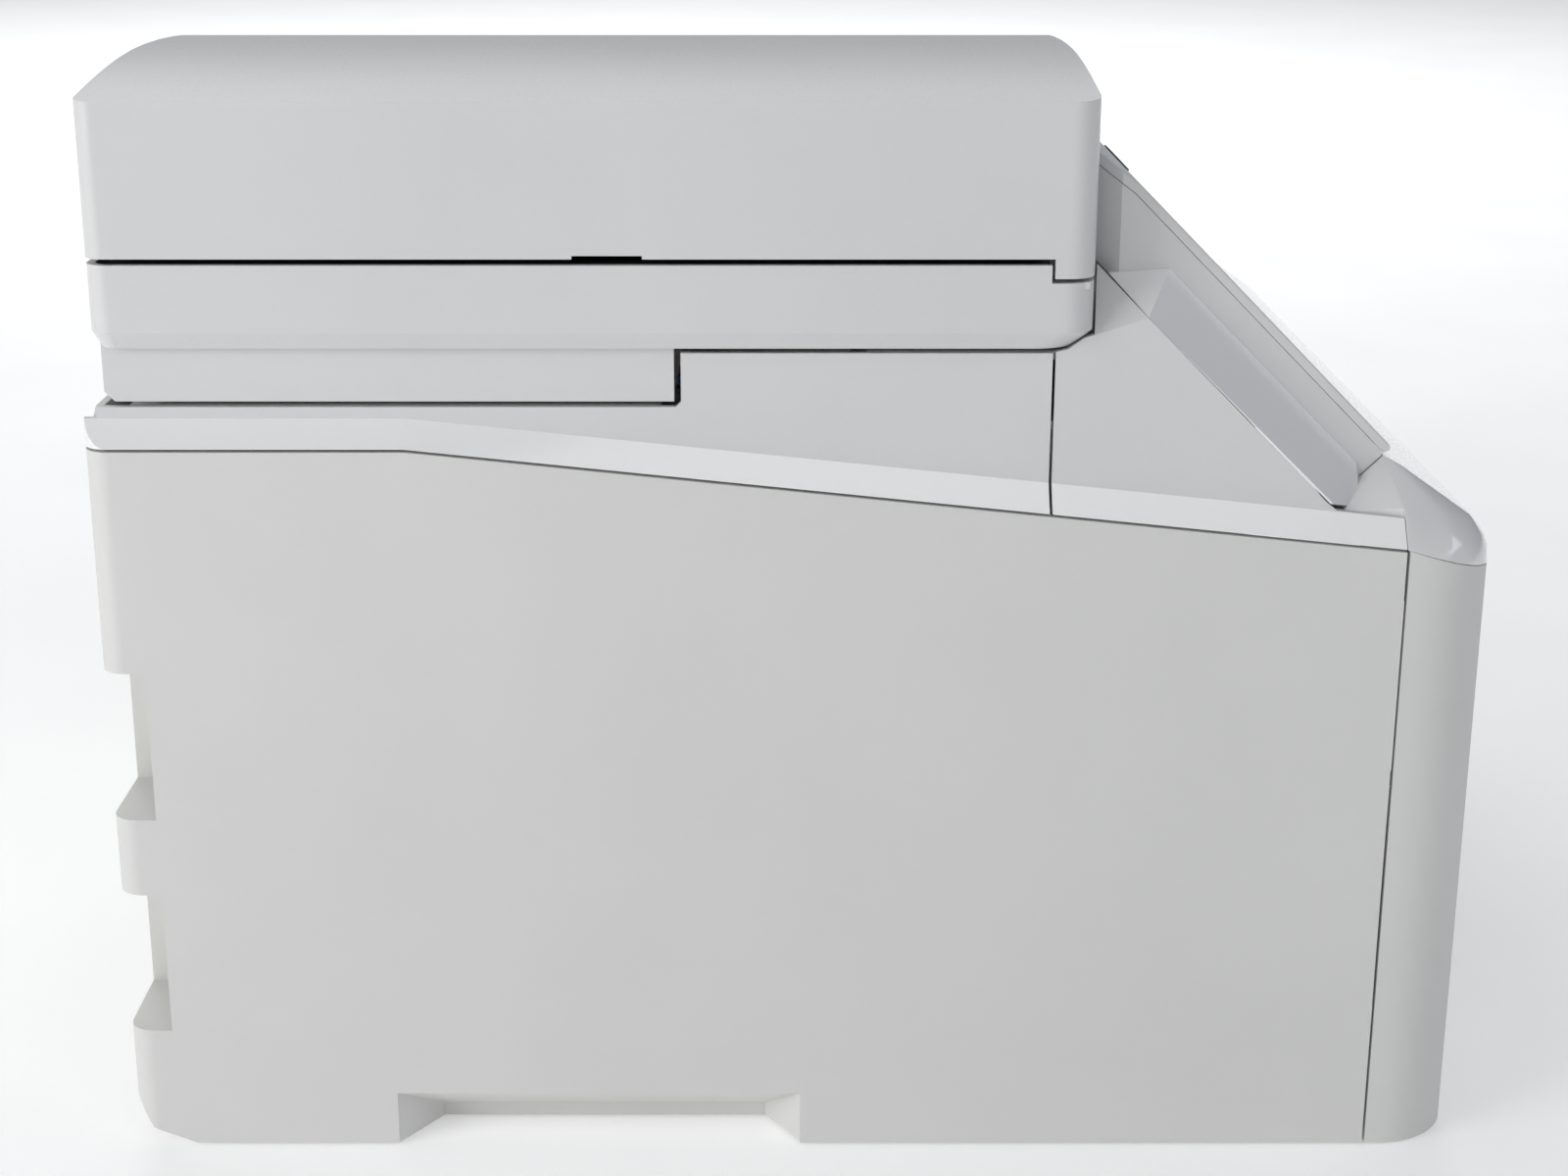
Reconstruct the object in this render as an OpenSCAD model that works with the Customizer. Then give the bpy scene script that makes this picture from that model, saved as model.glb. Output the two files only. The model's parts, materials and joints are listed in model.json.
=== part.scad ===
// Desktop inkjet multifunction printer: document feeder and flatbed scanner over a cassette-fed print engine.
// +Z is up, the front faces -Y, X runs across the width. The origin is on the ground under the middle.

/* [Body] */
// Overall width, left flank to right flank
body_w = 420; // [410:1:440]
// Overall depth, nose to rear face
body_d = 421; // [415:1:440]
// Height of the rubber feet below the housing
foot_h = 1; // [0.8:0.1:3]
// Radius of the rubber feet
foot_r = 9; // [7:0.5:12]
// Wall of the side panels
panel_wall = 3; // [2:0.1:3.5]
// Plan radius of the two front corners
front_corner_r = 25; // [20:1:28]
// Plan radius of the two rear corners
rear_corner_r = 8; // [6:1:12]
// Depth of the front frame, nose back to the side panel's front edge
front_wrap = 30; // [29:1:34]
// Width of the seams between outer covers
seam = 0.9; // [0.6:0.1:1.2]

/* [Shoulder] */
// Height of the shoulder line along the rear half
shoulder_z = 229; // [226:1:231]
// Distance from the rear face to the bend in the shoulder line
shoulder_bend = 95; // [80:1:110]
// Slope of the shoulder line towards the front, in degrees
shoulder_slope = 5.9; // [5:0.1:7]
// Height of the glossy band above the shoulder line
band_h = 8; // [6:0.5:9]
// How far the covers above the band are set in from the flank
band_inset = 6; // [4:0.5:7]
// Wall of the upper covers
cover_wall = 2.5; // [2:0.1:3]
// Top edge of the upper covers beside the scanner tub
rear_rim_z = 240.4; // [240:0.1:240.6]
// Top edge of the upper covers in front of the scanner tub
front_rim_z = 256.5; // [255:0.1:257]
// Distance from the front to the seam between upper cover and cheek cover
cheek_seam = 136; // [130:1:140]

/* [Grip and corner pockets] */
// Length of the lifting grip at the bottom of each flank
grip_len = 127.7; // [110:1:135]
// Distance from the rear face to the near end of the grip
grip_from_rear = 84; // [80:1:95]
// Height of the lifting grip
grip_h = 17.6; // [15:0.1:19]
// Depth of the lifting grip
grip_depth = 18.3; // [15:0.1:21]
// Height of the upright wall at the back of the grip, below its sloped ceiling
grip_sill = 4.4; // [3:0.1:7]
// Width of the pockets in the rear corners
pocket_w = 36; // [30:1:38]
// Depth of the corner pockets from the rear face
pocket_d = 14; // [10:1:14]
// Bottom and top of the upper corner pocket
upper_pocket_z = [112, 159.4];
// Bottom and top of the lower corner pocket
lower_pocket_z = [40.7, 87];

/* [Control panel] */
// Height where the bezel's 45 degree face would reach y = 0
bezel_line = 403.2; // [401:0.1:405]
// Thickness of the bezel, square to its face
bezel_t = 3; // [2.5:0.1:3.4]
// Height where the cheek cover's 45 degree edge would reach y = 0
cheek_line = 368.5; // [367:0.1:370]
// Set-in of the control panel's side walls from the flanks
pod_inset = 22; // [20:1:26]
// Chamfer on the rear corners of the control panel
pod_chamfer = 7; // [4:0.5:9]
// Height of the seam under the nose at the very front
nose_seam_z = 189.3; // [188:0.1:192]
// Width of the touch screen
screen_w = 152; // [120:1:170]
// Height of the touch screen along the slope
screen_l = 86; // [70:1:90]
// Diameter of the power button
button_dia = 15; // [12:1:18]
// Travel of the power button
button_travel = 1.2; // [0.8:0.1:1.4]

/* [Scanner] */
// Underside of the scanner tub
tub_z = 242; // [241.6:0.1:242.4]
// Distance from the rear face to the front of the scanner tub
tub_depth = 173.9; // [165:0.1:173.9]
// Underside of the scanner's flared wall
flare_z = 258.3; // [258:0.1:258.6]
// Top of the scanner wall
scanner_top_z = 283.3; // [283:0.1:283.3]
// Distance from the front to the scanner's front wall
scanner_front = 125; // [125:0.5:128]
// Distance from the rear face to the scanner's rear wall
scanner_rear = 4.7; // [4:0.1:6]
// Thickness of the flatbed glass
glass_t = 2; // [1.8:0.1:2]
// Size of the flatbed glass across the machine
glass_w = 334; // [320:1:336]
// Size of the flatbed glass front to back
glass_d = 224; // [220:1:226]

/* [Lid and feeder] */
// Underside of the lid
lid_z = 285.1; // [285.1:0.1:285.4]
// Height of the feeder cover's side wall top
feeder_wall_z = 329.7; // [326:0.1:332]
// Height of the crown of the feeder cover
feeder_crown_z = 336.8; // [335:0.1:339]
// Width of the feeder cover
feeder_w = 150; // [146:1:152]
// Top face of the lid beside the feeder
lid_deck_z = 299; // [297:0.5:299]
// Wall of the feeder cover
feeder_wall = 2.5; // [2:0.1:2.5]
// Drop of the lip at the front of the lid
lip_drop = 5.7; // [5:0.1:5.8]
// Depth of the lip at the front of the lid
lip_d = 12.2; // [11:0.1:12.5]
// Radius of the feeder's transport roller
feeder_roller_r = 8; // [7:0.5:9]

/* [Cassette] */
// Outer width of the cassette tray
cassette_w = 236; // [234:1:238]
// Length of the cassette tray behind its front panel
cassette_l = 317; // [315:1:318]
// Height of the cassette's side walls above its floor
cassette_wall_h = 50; // [45:1:51]
// Wall of the cassette
cassette_wall = 2.5; // [2:0.1:3]
// Width of the cassette's front panel
front_panel_w = 360; // [350:1:361]
// Top of the cassette's front panel
front_panel_z = 78; // [74:1:78]
// Pull-out travel of the cassette
cassette_travel = 300; // [250:5:305]
// Greatest lift of the lift plate, in degrees
lift_angle = 12; // [8:1:12]

/* [Output tray] */
// Width of the output tray
tray_w = 224; // [216:1:230]
// Underside of the output tray
tray_z = 84.3; // [84:0.1:84.6]
// Pull-out travel of the output tray
tray_travel = 150; // [100:5:155]
// Top of the window in the front frame
window_z = 150; // [145:1:155]

/* [Print engine] */
// Gear module
gear_m = 1; // [1:1:1]
// Teeth of the feed roller's gear
feed_teeth = 36; // [36:12:36]
// Teeth of the idler gear
idler_teeth = 52; // [52:4:52]
// Teeth of the exit roller's gear
exit_teeth = 32; // [32:32:32]
// Teeth of the feed motor's pinion
pinion_teeth = 12; // [12:12:12]
// Face width of the gears
gear_w = 6; // [5:0.5:7]
// Radius of the roller shafts
shaft_r = 4; // [3.5:0.1:4.2]
// Running clearance of every shaft in its bore, on the radius
fit = 0.06; // [0.04:0.01:0.08]
// Radius of the feed roller
feed_roller_r = 6.5; // [6:0.1:6.5]
// Radius of the exit roller
exit_roller_r = 6; // [5:0.1:6.2]
// Radius of the pinch roller
pinch_roller_r = 4.2; // [4:0.1:4.5]
// Height of the roller axes
roller_z = 98; // [97:0.5:98]
// Place of the feed roller's axis, front to back
feed_y = 72; // [71:0.5:73]
// Thickness of the frame plates
plate_t = 1.2; // [1:0.1:1.5]
// Width of the carriage
carriage_w = 90; // [86:1:92]
// Travel of the carriage
carriage_travel = 272; // [250:1:272]
// Radius of the guide rod
rod_r = 5; // [4:0.1:5]
// Width of one ink cartridge
cartridge_w = 19; // [17:0.5:19.5]
// Height of one ink cartridge
cartridge_h = 52; // [45:1:54]
// Lift of a cartridge out of its well
cartridge_lift = 45; // [30:1:48]
// Outer radius of the belt pulleys
pulley_r = 6; // [5:0.1:6]
// Radius of the paper pick roller
pick_roller_r = 11; // [9:0.5:11]
// Radius of the feed motor
feed_motor_r = 17; // [14:0.5:17]
// Radius of the carriage motor
carriage_motor_r = 11; // [9:0.5:11]
// Radius of the guide drum that turns the sheet over
drum_r = 26; // [24:0.5:26]

/* [Rear] */
// Width of the rear jam door
door_w = 240; // [200:2:242]
// Height of the rear jam door
door_h = 150; // [120:1:152]
// Bottom of the rear jam door
door_z = 41; // [38:1:44]

/* [Hidden] */

half_w = body_w / 2;
front_y = -body_d / 2;
rear_y = body_d / 2;
far = 600;
air = 0.3;
joint = 0.12;

// Colours of the mouldings and metals
shell_grey = [0.83, 0.83, 0.82];
gloss_white = [0.93, 0.93, 0.93];
dark_plastic = [0.16, 0.17, 0.18];
inner_grey = [0.45, 0.46, 0.48];
steel = [0.72, 0.73, 0.75];
rubber_black = [0.10, 0.10, 0.10];

// Shoulder line and the covers that follow it
wrap_y = front_y + front_wrap;
bend_y = rear_y - shoulder_bend;
cheek_y = front_y + cheek_seam;
cover_x = half_w - band_inset;
function line_z(y) = shoulder_z - max(0, bend_y - y) * tan(shoulder_slope);

// Control panel section: 45 degree lines z = y + offset
seam_line = bezel_line - bezel_t * sqrt(2);
ridge_line = (cheek_line + seam_line) / 2 + 4.4;
pod_x = half_w - pod_inset;
pod_back_y = front_y + 123;
pod_back_z = 311.6;
knee_y = front_y + 110.9;
pod_end_y = front_y + 33.9;
wing_end_y = pod_end_y + 8;
nose_z = line_z(wrap_y) + band_h;
screen_y = (knee_y + pod_end_y) / 2;

// Scanner and lid
scan_front_y = front_y + scanner_front;
scan_rear_y = rear_y - scanner_rear;
tub_front_y = rear_y - tub_depth;
tub_rear_y = scan_rear_y - 2.1;
tub_x = cover_x - 0.5;
scan_pivot = [scan_rear_y - 7.8, tub_z + 5];
lid_pivot = [scan_rear_y - 2.8, lid_z + 1.9];
scanner_wall = 2.5;
deck_t = 2.3;
glass_x0 = -half_w + 73;
glass_y0 = scan_front_y + 38;
scan_glass_z = scanner_top_z - deck_t - glass_t;
bar_home_x = -half_w + 52;
bar_travel = 346;
scan_rod = [tub_front_y + 32.9, tub_z + 12];
feeder_x1 = -half_w + feeder_w;
cover_hinge = [-half_w + 4, lid_z + 4.9];
feeder_x = [-half_w + 100, -half_w + 130];
feeder_roller_z = lid_deck_z + 11;
tray_hinge = [feeder_x1 + 9, lid_deck_z + 10.5];
tray_ears = [glass_y0 + 30, glass_y0 + 192];
ear_t = 4;

// Print engine
plate_x = [-half_w + 38, half_w - 10.6];
exit_y = feed_y - gear_m * (feed_teeth / 2 + idler_teeth + exit_teeth / 2);
idler_y = feed_y - gear_m * (feed_teeth + idler_teeth) / 2;
gear_x = plate_x[0] - plate_t - 2 - gear_w;
pinion_reach = gear_m * (feed_teeth + pinion_teeth) / 2;
motor_yz = [feed_y + pinion_reach * cos(45), roller_z - pinion_reach * sin(45)];
pinch_z = roller_z + feed_roller_r + pinch_roller_r + air;
paper_right = half_w - 105;
paper_left = -half_w + 80;
rod_y = feed_y + 36;
rod_z = roller_z + 42;
rail_y = rod_y + 32;
home_x = half_w - 60;
belt_y = rod_y + 20;
belt_z = rod_z + 12;
belt_t = 1;
belt_x = [plate_x[0] + 17, plate_x[1] - 14];
well_pitch = cartridge_w + 2;
well_z = pinch_z + pinch_roller_r + 5;
pick_pivot = [feed_y - 20, roller_z - 14];
pick_axle = [feed_y + 28, roller_z - 38];

// Cassette, output and rear
floor_z = foot_h + 4;
cassette_z = floor_z + 4;
cassette_y0 = front_y + 10;
cassette_y1 = cassette_y0 + cassette_l;
plate_pivot_y = cassette_y1 - 158;
bin_z = tray_z - 4.3;
door_hinge = [rear_y - panel_wall / 2, door_z + 3];
drum = [rear_y - 45.5, roller_z - 22];
board_y = rear_y - 24;
supply_x = max(paper_right + 21, door_w / 2 + 6);

module block(low, high) {
    translate(low) cube(high - low);
}

// A profile of (y, z) points swept across x
module across(x0, x1, points) {
    translate([x0, 0, 0]) rotate([90, 0, 90]) linear_extrude(x1 - x0) polygon(points);
}

// A profile of (x, z) points swept front to back
module along(y0, y1, points) {
    translate([0, y1, 0]) rotate([90, 0, 0]) linear_extrude(y1 - y0) polygon(points);
}

module shaft_x(x0, x1, at, r, fn = 48) {
    translate([x0, at[0], at[1]]) rotate([0, 90, 0]) cylinder(r = r, h = x1 - x0, $fn = fn);
}

module shaft_y(y0, y1, at, r) {
    translate([at[0], y0, at[1]]) rotate([-90, 0, 0]) cylinder(r = r, h = y1 - y0, $fn = 48);
}

module shaft_z(z0, z1, at, r) {
    translate([at[0], at[1], z0]) cylinder(r = r, h = z1 - z0, $fn = 48);
}

module right_hand() {
    mirror([1, 0, 0]) children();
}

module both_sides() {
    children();
    right_hand() children();
}

// Rectangle in plan with round front and rear corners
module plan(x, y0, y1, front_r, rear_r) {
    translate([-x, y0 + front_r]) square([2 * x, y1 - y0 - front_r - rear_r]);
    translate([-x + front_r, y0]) square([2 * (x - front_r), front_r]);
    translate([-x + rear_r, y1 - rear_r]) square([2 * (x - rear_r), rear_r]);
    for (s = [-1, 1]) {
        translate([s * (x - front_r), y0 + front_r]) circle(r = front_r, $fn = 64);
        translate([s * (x - rear_r), y1 - rear_r]) circle(r = rear_r, $fn = 48);
    }
}

module body_plan(inset) {
    plan(half_w - inset, front_y + inset, rear_y - inset, front_corner_r - inset,
        max(1, rear_corner_r - inset));
}

module body_column(inset, z0, z1) {
    translate([0, 0, z0]) linear_extrude(z1 - z0) body_plan(inset);
}

// ---- Housing ----

module base_pan() {
    cradle_x = cassette_w / 2 + 1;
    color(inner_grey) difference() {
        union() {
            block([-half_w + panel_wall + air, wrap_y + 1, foot_h + 1],
                [half_w - panel_wall - air, rear_y - 25.5, floor_z]);
            both_sides() {
                block([-cradle_x - 3, wrap_y + 1, floor_z], [-cradle_x, rear_y - 95, cassette_z + 20]);
                block([-cradle_x + 9, wrap_y + 1, floor_z], [-cradle_x + 13, rear_y - 95, cassette_z - air]);
            }
        }
        both_sides() block([-half_w, rear_y - grip_from_rear - grip_len - 4, 0],
            [-half_w + grip_depth + 3, rear_y - grip_from_rear + 4, far]);
    }
}

module rubber_feet() {
    color(rubber_black) for (x = [-1, 1], y = [wrap_y + 25, rear_y - 45])
        translate([x * (half_w - 40), y, 0]) cylinder(r = foot_r, h = foot_h + 1, $fn = 48);
}

module side_profile(inset, top, base) {
    r = rear_y - inset;
    across(-half_w - 1, half_w + 1, [
        [wrap_y - inset, base],
        [r - 19.5, base],
        [r - 5.9, base + 5.3],
        [r, base + 15.8],
        [r, shoulder_z + top],
        [bend_y, shoulder_z + top],
        [wrap_y - inset, line_z(wrap_y - inset) + top]]);
}

// Trapezoid finger pocket, open to the flank and to the ground, under a ceiling that slopes inwards
module grip_pocket(grow) {
    y1 = rear_y - grip_from_rear + grow;
    y0 = y1 - grip_len - 2 * grow;
    back_x = -half_w + grip_depth + grow;
    hull() {
        translate([0, 0, -grow]) linear_extrude(foot_h + grip_sill + 2 * grow) polygon([
            [-half_w - 1, y0],
            [-half_w - 1, y1],
            [back_x, y1 - 12.4],
            [back_x, y0 + 11]]);
        block([-half_w - 1, y0, 0], [-half_w + 0.5 + grow * 1.6, y1, foot_h + grip_h + grow]);
    }
}

module corner_pocket(z, grow) {
    block([-half_w - 1 + grow, rear_y - pocket_d - grow, z[0] - grow],
        [-half_w + pocket_w + grow, rear_y + 1 - grow, z[1] + grow]);
}

module side_panel() {
    return_x = -half_w + pocket_w + 2;
    difference() {
        union() {
            difference() {
                intersection() {
                    body_column(0, 0, far);
                    side_profile(0, -seam, foot_h);
                    block([-half_w, front_y, 0], [return_x, rear_y, far]);
                }
                intersection() {
                    body_column(panel_wall, -1, far);
                    side_profile(panel_wall, far, foot_h + panel_wall);
                }
                block([-half_w + panel_wall, wrap_y - 1, -1], [0, rear_y - 25, far]);
            }
            intersection() {
                union() {
                    grip_pocket(2);
                    corner_pocket(upper_pocket_z, 2);
                    corner_pocket(lower_pocket_z, 2);
                }
                body_column(0, foot_h, far);
            }
        }
        grip_pocket(0);
        corner_pocket(upper_pocket_z, 0);
        corner_pocket(lower_pocket_z, 0);
    }
}

module left_side_panel() {
    color(shell_grey) side_panel();
}

module right_side_panel() {
    color(shell_grey) right_hand() side_panel();
}

// Sloped band along the shoulder, between two places front to back
module band(y0, y1) {
    hull() for (y = [y0, y1 - 0.2])
        along(y, y + 0.2, [
            [-half_w, line_z(y)],
            [-cover_x, line_z(y) + band_h],
            [-cover_x + cover_wall, line_z(y) + band_h],
            [-cover_x + cover_wall, line_z(y)]]);
}

// Space above the shoulder line that the covers fill: its rear face leans forward like the band
module shoulder_form() {
    hull() {
        body_column(0, 0, shoulder_z);
        translate([0, 0, shoulder_z + band_h]) linear_extrude(1)
            plan(cover_x, front_y, rear_y - 2.4, front_corner_r, rear_corner_r - 1);
        translate([0, 0, rear_rim_z]) linear_extrude(far)
            plan(cover_x, front_y, rear_y - 3.4, front_corner_r, rear_corner_r - 2);
    }
}

module upper_cover() {
    intersection() {
        union() {
            across(-cover_x, -cover_x + cover_wall, [
                [cheek_y + seam / 2, line_z(cheek_y)],
                [bend_y, shoulder_z],
                [rear_y - 4, shoulder_z],
                [rear_y - 4, rear_rim_z],
                [tub_front_y - 0.5, rear_rim_z],
                [tub_front_y - 2, rear_rim_z + 1.5],
                [tub_front_y - 2, front_rim_z],
                [cheek_y + seam / 2, front_rim_z]]);
            band(cheek_y + seam / 2, bend_y);
            band(bend_y, rear_y);
            block([-cover_x, tub_front_y + 4, rear_rim_z - 2.4], [-cover_x + 14, rear_y - 22, rear_rim_z]);
        }
        shoulder_form();
    }
}

module left_upper_cover() {
    color(gloss_white) upper_cover();
}

module right_upper_cover() {
    color(gloss_white) right_hand() upper_cover();
}

module cheek_cover() {
    gap = seam / 2;
    low_y = nose_z + 5 - cheek_line;
    top_y = cheek_y - 27;
    color(gloss_white) {
        across(-cover_x, -cover_x + cover_wall, [
            [cheek_y - gap, line_z(cheek_y)],
            [cheek_y - gap, front_rim_z + 0.4],
            [cheek_y - 4, front_rim_z + 1.2],
            [cheek_y - 8.5, front_rim_z + 4.5],
            [top_y, cheek_line + top_y - joint],
            [low_y, cheek_line + low_y - joint],
            [low_y - 3, line_z(low_y) + band_h],
            [wrap_y + joint, line_z(wrap_y) + band_h],
            [wrap_y + joint, line_z(wrap_y)]]);
        band(wrap_y + joint, cheek_y - gap);
        // Cove that leads in behind the scanner's front corner
        hull() {
            across(-cover_x, -cover_x + 0.2, [
                [cheek_y - 11.5, front_rim_z + 3.6],
                [cheek_y - 11.5, front_rim_z + 5.3],
                [top_y, cheek_line + top_y - joint]]);
            across(-pod_x - 0.2, -pod_x, [
                [pod_back_y - 0.5, front_rim_z],
                [pod_back_y - 0.5, cheek_line + pod_back_y - 1],
                [top_y, cheek_line + top_y - 1]]);
        }
    }
}

module left_cheek_cover() {
    cheek_cover();
}

module right_cheek_cover() {
    right_hand() cheek_cover();
}

// ---- Control panel ----

// Section of the control panel under the bezel, with its walls moved in by an amount
function pod_section(inset) = [
    [pod_back_y - inset, cheek_line + pod_back_y + inset],
    [pod_back_y - inset, pod_back_z - bezel_t * 1.24 + 0.7 - inset * 1.1],
    [knee_y + 1.2, seam_line + knee_y + 1.2 - inset * 1.41],
    [pod_end_y, seam_line + pod_end_y - inset * 1.41],
    [wing_end_y - 1, nose_z + 9 + inset],
    [wing_end_y - 1, cheek_line + wing_end_y + inset]];

// Slice of the housing's plan at a height, from the nose back a given depth
module nose_slice(inset, z, depth) {
    translate([0, 0, z]) linear_extrude(0.2) intersection() {
        body_plan(inset);
        translate([-half_w, front_y]) square([body_w, depth]);
    }
}

// Profile under the nose: the joint with the front frame, moved up by an amount
function nose_joint(up) = [
    [front_y, nose_seam_z + up],
    [wrap_y - joint, line_z(wrap_y) + up]];

// Nose and the apron that climbs from it to the foot of the control panel
module nose(inset, low) {
    foot_y = wing_end_y + 6;
    side_x = cover_x - cover_wall - joint - inset;
    hull() {
        intersection() {
            body_column(inset, nose_seam_z - 5, nose_z);
            across(-half_w, half_w, concat(nose_joint(low), [
                [wrap_y - joint, line_z(wrap_y) + low + 0.2],
                [front_y, nose_seam_z + low + 0.2]]));
        }
        nose_slice(inset + 0.4, nose_z - 12 - inset, 16);
        nose_slice(inset + 1.8, nose_z - 8.6 - inset, 16);
        nose_slice(inset + 4, nose_z - 5.7 - inset, 16);
        nose_slice(inset + band_inset, nose_z - 3.4 - inset, 16);
        across(-cover_x + inset, cover_x - inset, [
            [wrap_y - joint - 2, nose_z - 0.5 - inset],
            [wrap_y - joint, nose_z - 0.2 - inset],
            [wrap_y - joint, nose_z - 2 - inset]]);
        across(-side_x, side_x, [
            [wrap_y, nose_z - 2.5],
            [foot_y, nose_z - 0.8],
            [foot_y, line_z(foot_y) + band_h - 0.4 - inset],
            [wrap_y, nose_z - 0.4 - inset]]);
        across(-pod_x + inset, pod_x - inset, [
            [pod_end_y - 5.1 + inset * 0.5, nose_z + 12.6 - inset],
            [pod_end_y, seam_line + pod_end_y - 0.6 - inset * 1.6],
            [wing_end_y - 0.4, nose_z + 8 - inset],
            [wing_end_y - 0.4, nose_z - 3]]);
    }
}

// What the chamfers take off the pod's two rear corners, moved inwards by an amount
module pod_corners(inset) {
    start_y = pod_back_y - pod_chamfer - inset * sqrt(2);
    both_sides() linear_extrude(far) polygon([
        [-pod_x - 5, start_y - 5],
        [-pod_x - 5, pod_back_y + 5],
        [-pod_x + pod_back_y + 5 - start_y, pod_back_y + 5]]);
}

module panel_housing() {
    color(gloss_white) {
        difference() {
            across(-pod_x, pod_x, pod_section(0));
            pod_corners(0);
            difference() {
                across(-pod_x + cover_wall, pod_x - cover_wall, pod_section(cover_wall));
                pod_corners(cover_wall);
            }
            translate([0, screen_y, seam_line + screen_y]) rotate([45, 0, 0])
                block([-screen_w / 2 + 6, -screen_l / 2 + 6, -8], [screen_w / 2 - 6, screen_l / 2 - 6, 4]);
            button_frame() cylinder(r = button_dia / 2 + 1, h = 12, center = true, $fn = 48);
        }
        difference() {
            nose(0, 0);
            nose(cover_wall, -1);
            block([-half_w, wing_end_y + 5.5, 0], [half_w, far, far]);
            both_sides() block([-half_w - 1, wrap_y - joint, 0], [-cover_x + cover_wall + joint, far, far]);
        }
        // Shelf behind the nose, under the foot of each wing
        both_sides() across(-cover_x + cover_wall + joint, -pod_x + 1, [
            [wing_end_y + 5, nose_z - 2],
            [wing_end_y + 12, nose_z - 2],
            [wing_end_y + 12, line_z(wing_end_y + 12) + band_h - 0.6],
            [wing_end_y + 5, line_z(wing_end_y + 5) + band_h - 0.5]]);
        both_sides() hull() {
            across(-cover_x, -cover_x + 0.2, [
                [cheek_y - 27, cheek_line + cheek_y - 27],
                [wing_end_y + 10.6, cheek_line + wing_end_y + 11],
                [wing_end_y + 9.6, cheek_line + wing_end_y + 11]]);
            across(-pod_x - 0.2, -pod_x + cover_wall - 0.2, [
                [pod_back_y - 4, cheek_line + pod_back_y - 3.7],
                [cheek_y - 35, ridge_line + cheek_y - 35],
                [wing_end_y, ridge_line + wing_end_y],
                [wing_end_y, nose_z + 3]]);
            across(-cover_x + 7.5, -cover_x + 7.7, [
                [wing_end_y, nose_z + 1.4],
                [wing_end_y, nose_z + 2.4],
                [wing_end_y + 6.4, nose_z + 1.4]]);
        }
    }
}

module button_frame() {
    translate([pod_x - 28, screen_y, seam_line + screen_y]) rotate([45, 0, 0]) children();
}

module panel_bezel() {
    x = pod_x + 0.4;
    color(gloss_white) difference() {
        across(-x, x, [
            [pod_back_y, pod_back_z - bezel_t * 1.24 + 0.8],
            [pod_back_y, pod_back_z - 1.5],
            [pod_back_y - 1.2, pod_back_z],
            [knee_y, bezel_line + knee_y],
            [pod_end_y - 1.8, bezel_line + pod_end_y - 1.8],
            [pod_end_y - 1.8, seam_line + pod_end_y + 0.9],
            [pod_end_y, seam_line + pod_end_y + 0.1],
            [knee_y + 1.2, seam_line + knee_y + 1.3]]);
        translate([0, screen_y, seam_line + screen_y]) rotate([45, 0, 0])
            block([-screen_w / 2 - 0.3, -screen_l / 2 - 0.3, -8], [screen_w / 2 + 0.3, screen_l / 2 + 0.3, 8]);
        button_frame() cylinder(r = button_dia / 2 + 0.3, h = 20, center = true, $fn = 48);
        pod_corners(-0.3);
    }
}

module touch_screen() {
    color(rubber_black) translate([0, screen_y, seam_line + screen_y]) rotate([45, 0, 0])
        block([-screen_w / 2, -screen_l / 2, 0.15], [screen_w / 2, screen_l / 2, bezel_t - 0.4]);
}

module power_button() {
    color(dark_plastic) button_frame() {
        translate([0, 0, 0.5]) cylinder(r = button_dia / 2, h = bezel_t + 0.3, $fn = 48);
        translate([0, 0, -4.5]) cylinder(r = 2, h = 5.5, $fn = 24);
    }
}

// ---- Front and rear ----

module front_frame() {
    window_x = front_panel_w / 2 + seam;
    color(shell_grey) difference() {
        intersection() {
            body_column(0, foot_h, far);
            across(-half_w, half_w, [
                [wrap_y - seam, foot_h],
                [front_y, foot_h],
                [front_y, nose_seam_z - 0.4],
                [wrap_y - seam, line_z(wrap_y) - 0.4]]);
        }
        body_column(panel_wall, -1, far);
        block([-window_x, front_y - 1, foot_h + 5], [window_x, wrap_y, window_z]);
    }
}

module rear_cover() {
    x = half_w - pocket_w - 2 - seam / 2;
    port_x = plate_x[0] + 4;
    color(shell_grey) difference() {
        union() {
            difference() {
                intersection() {
                    side_profile(0, 0, foot_h);
                    block([-x, rear_y - 22, 0], [x, rear_y, far]);
                }
                side_profile(panel_wall, far, foot_h + panel_wall);
            }
            across(-cover_x + cover_wall + 0.1, cover_x - cover_wall - 0.1, [
                [rear_y - panel_wall - 3, shoulder_z],
                [rear_y, shoulder_z],
                [rear_y - 3.4, rear_rim_z],
                [rear_y - panel_wall - 3, rear_rim_z]]);
        }
        block([-door_w / 2 - seam, rear_y - 20, door_z - seam],
            [door_w / 2 + seam, far, door_z + door_h + seam]);
        shaft_x(-door_w / 2 - 4, door_w / 2 + 4, door_hinge, 1 + fit);
        block([port_x, rear_y - 20, 55], [port_x + 34, far, 120]);
        block([supply_x + 3, rear_y - 20, 44], [supply_x + 35, far, 72]);
    }
    // Bosses that carry the logic board
    color(shell_grey) for (x = [port_x + 6, port_x + 30], z = [128, 192])
        shaft_y(board_y + 1.65, rear_y - panel_wall + 0.5, [x, z], 3);
}

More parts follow.
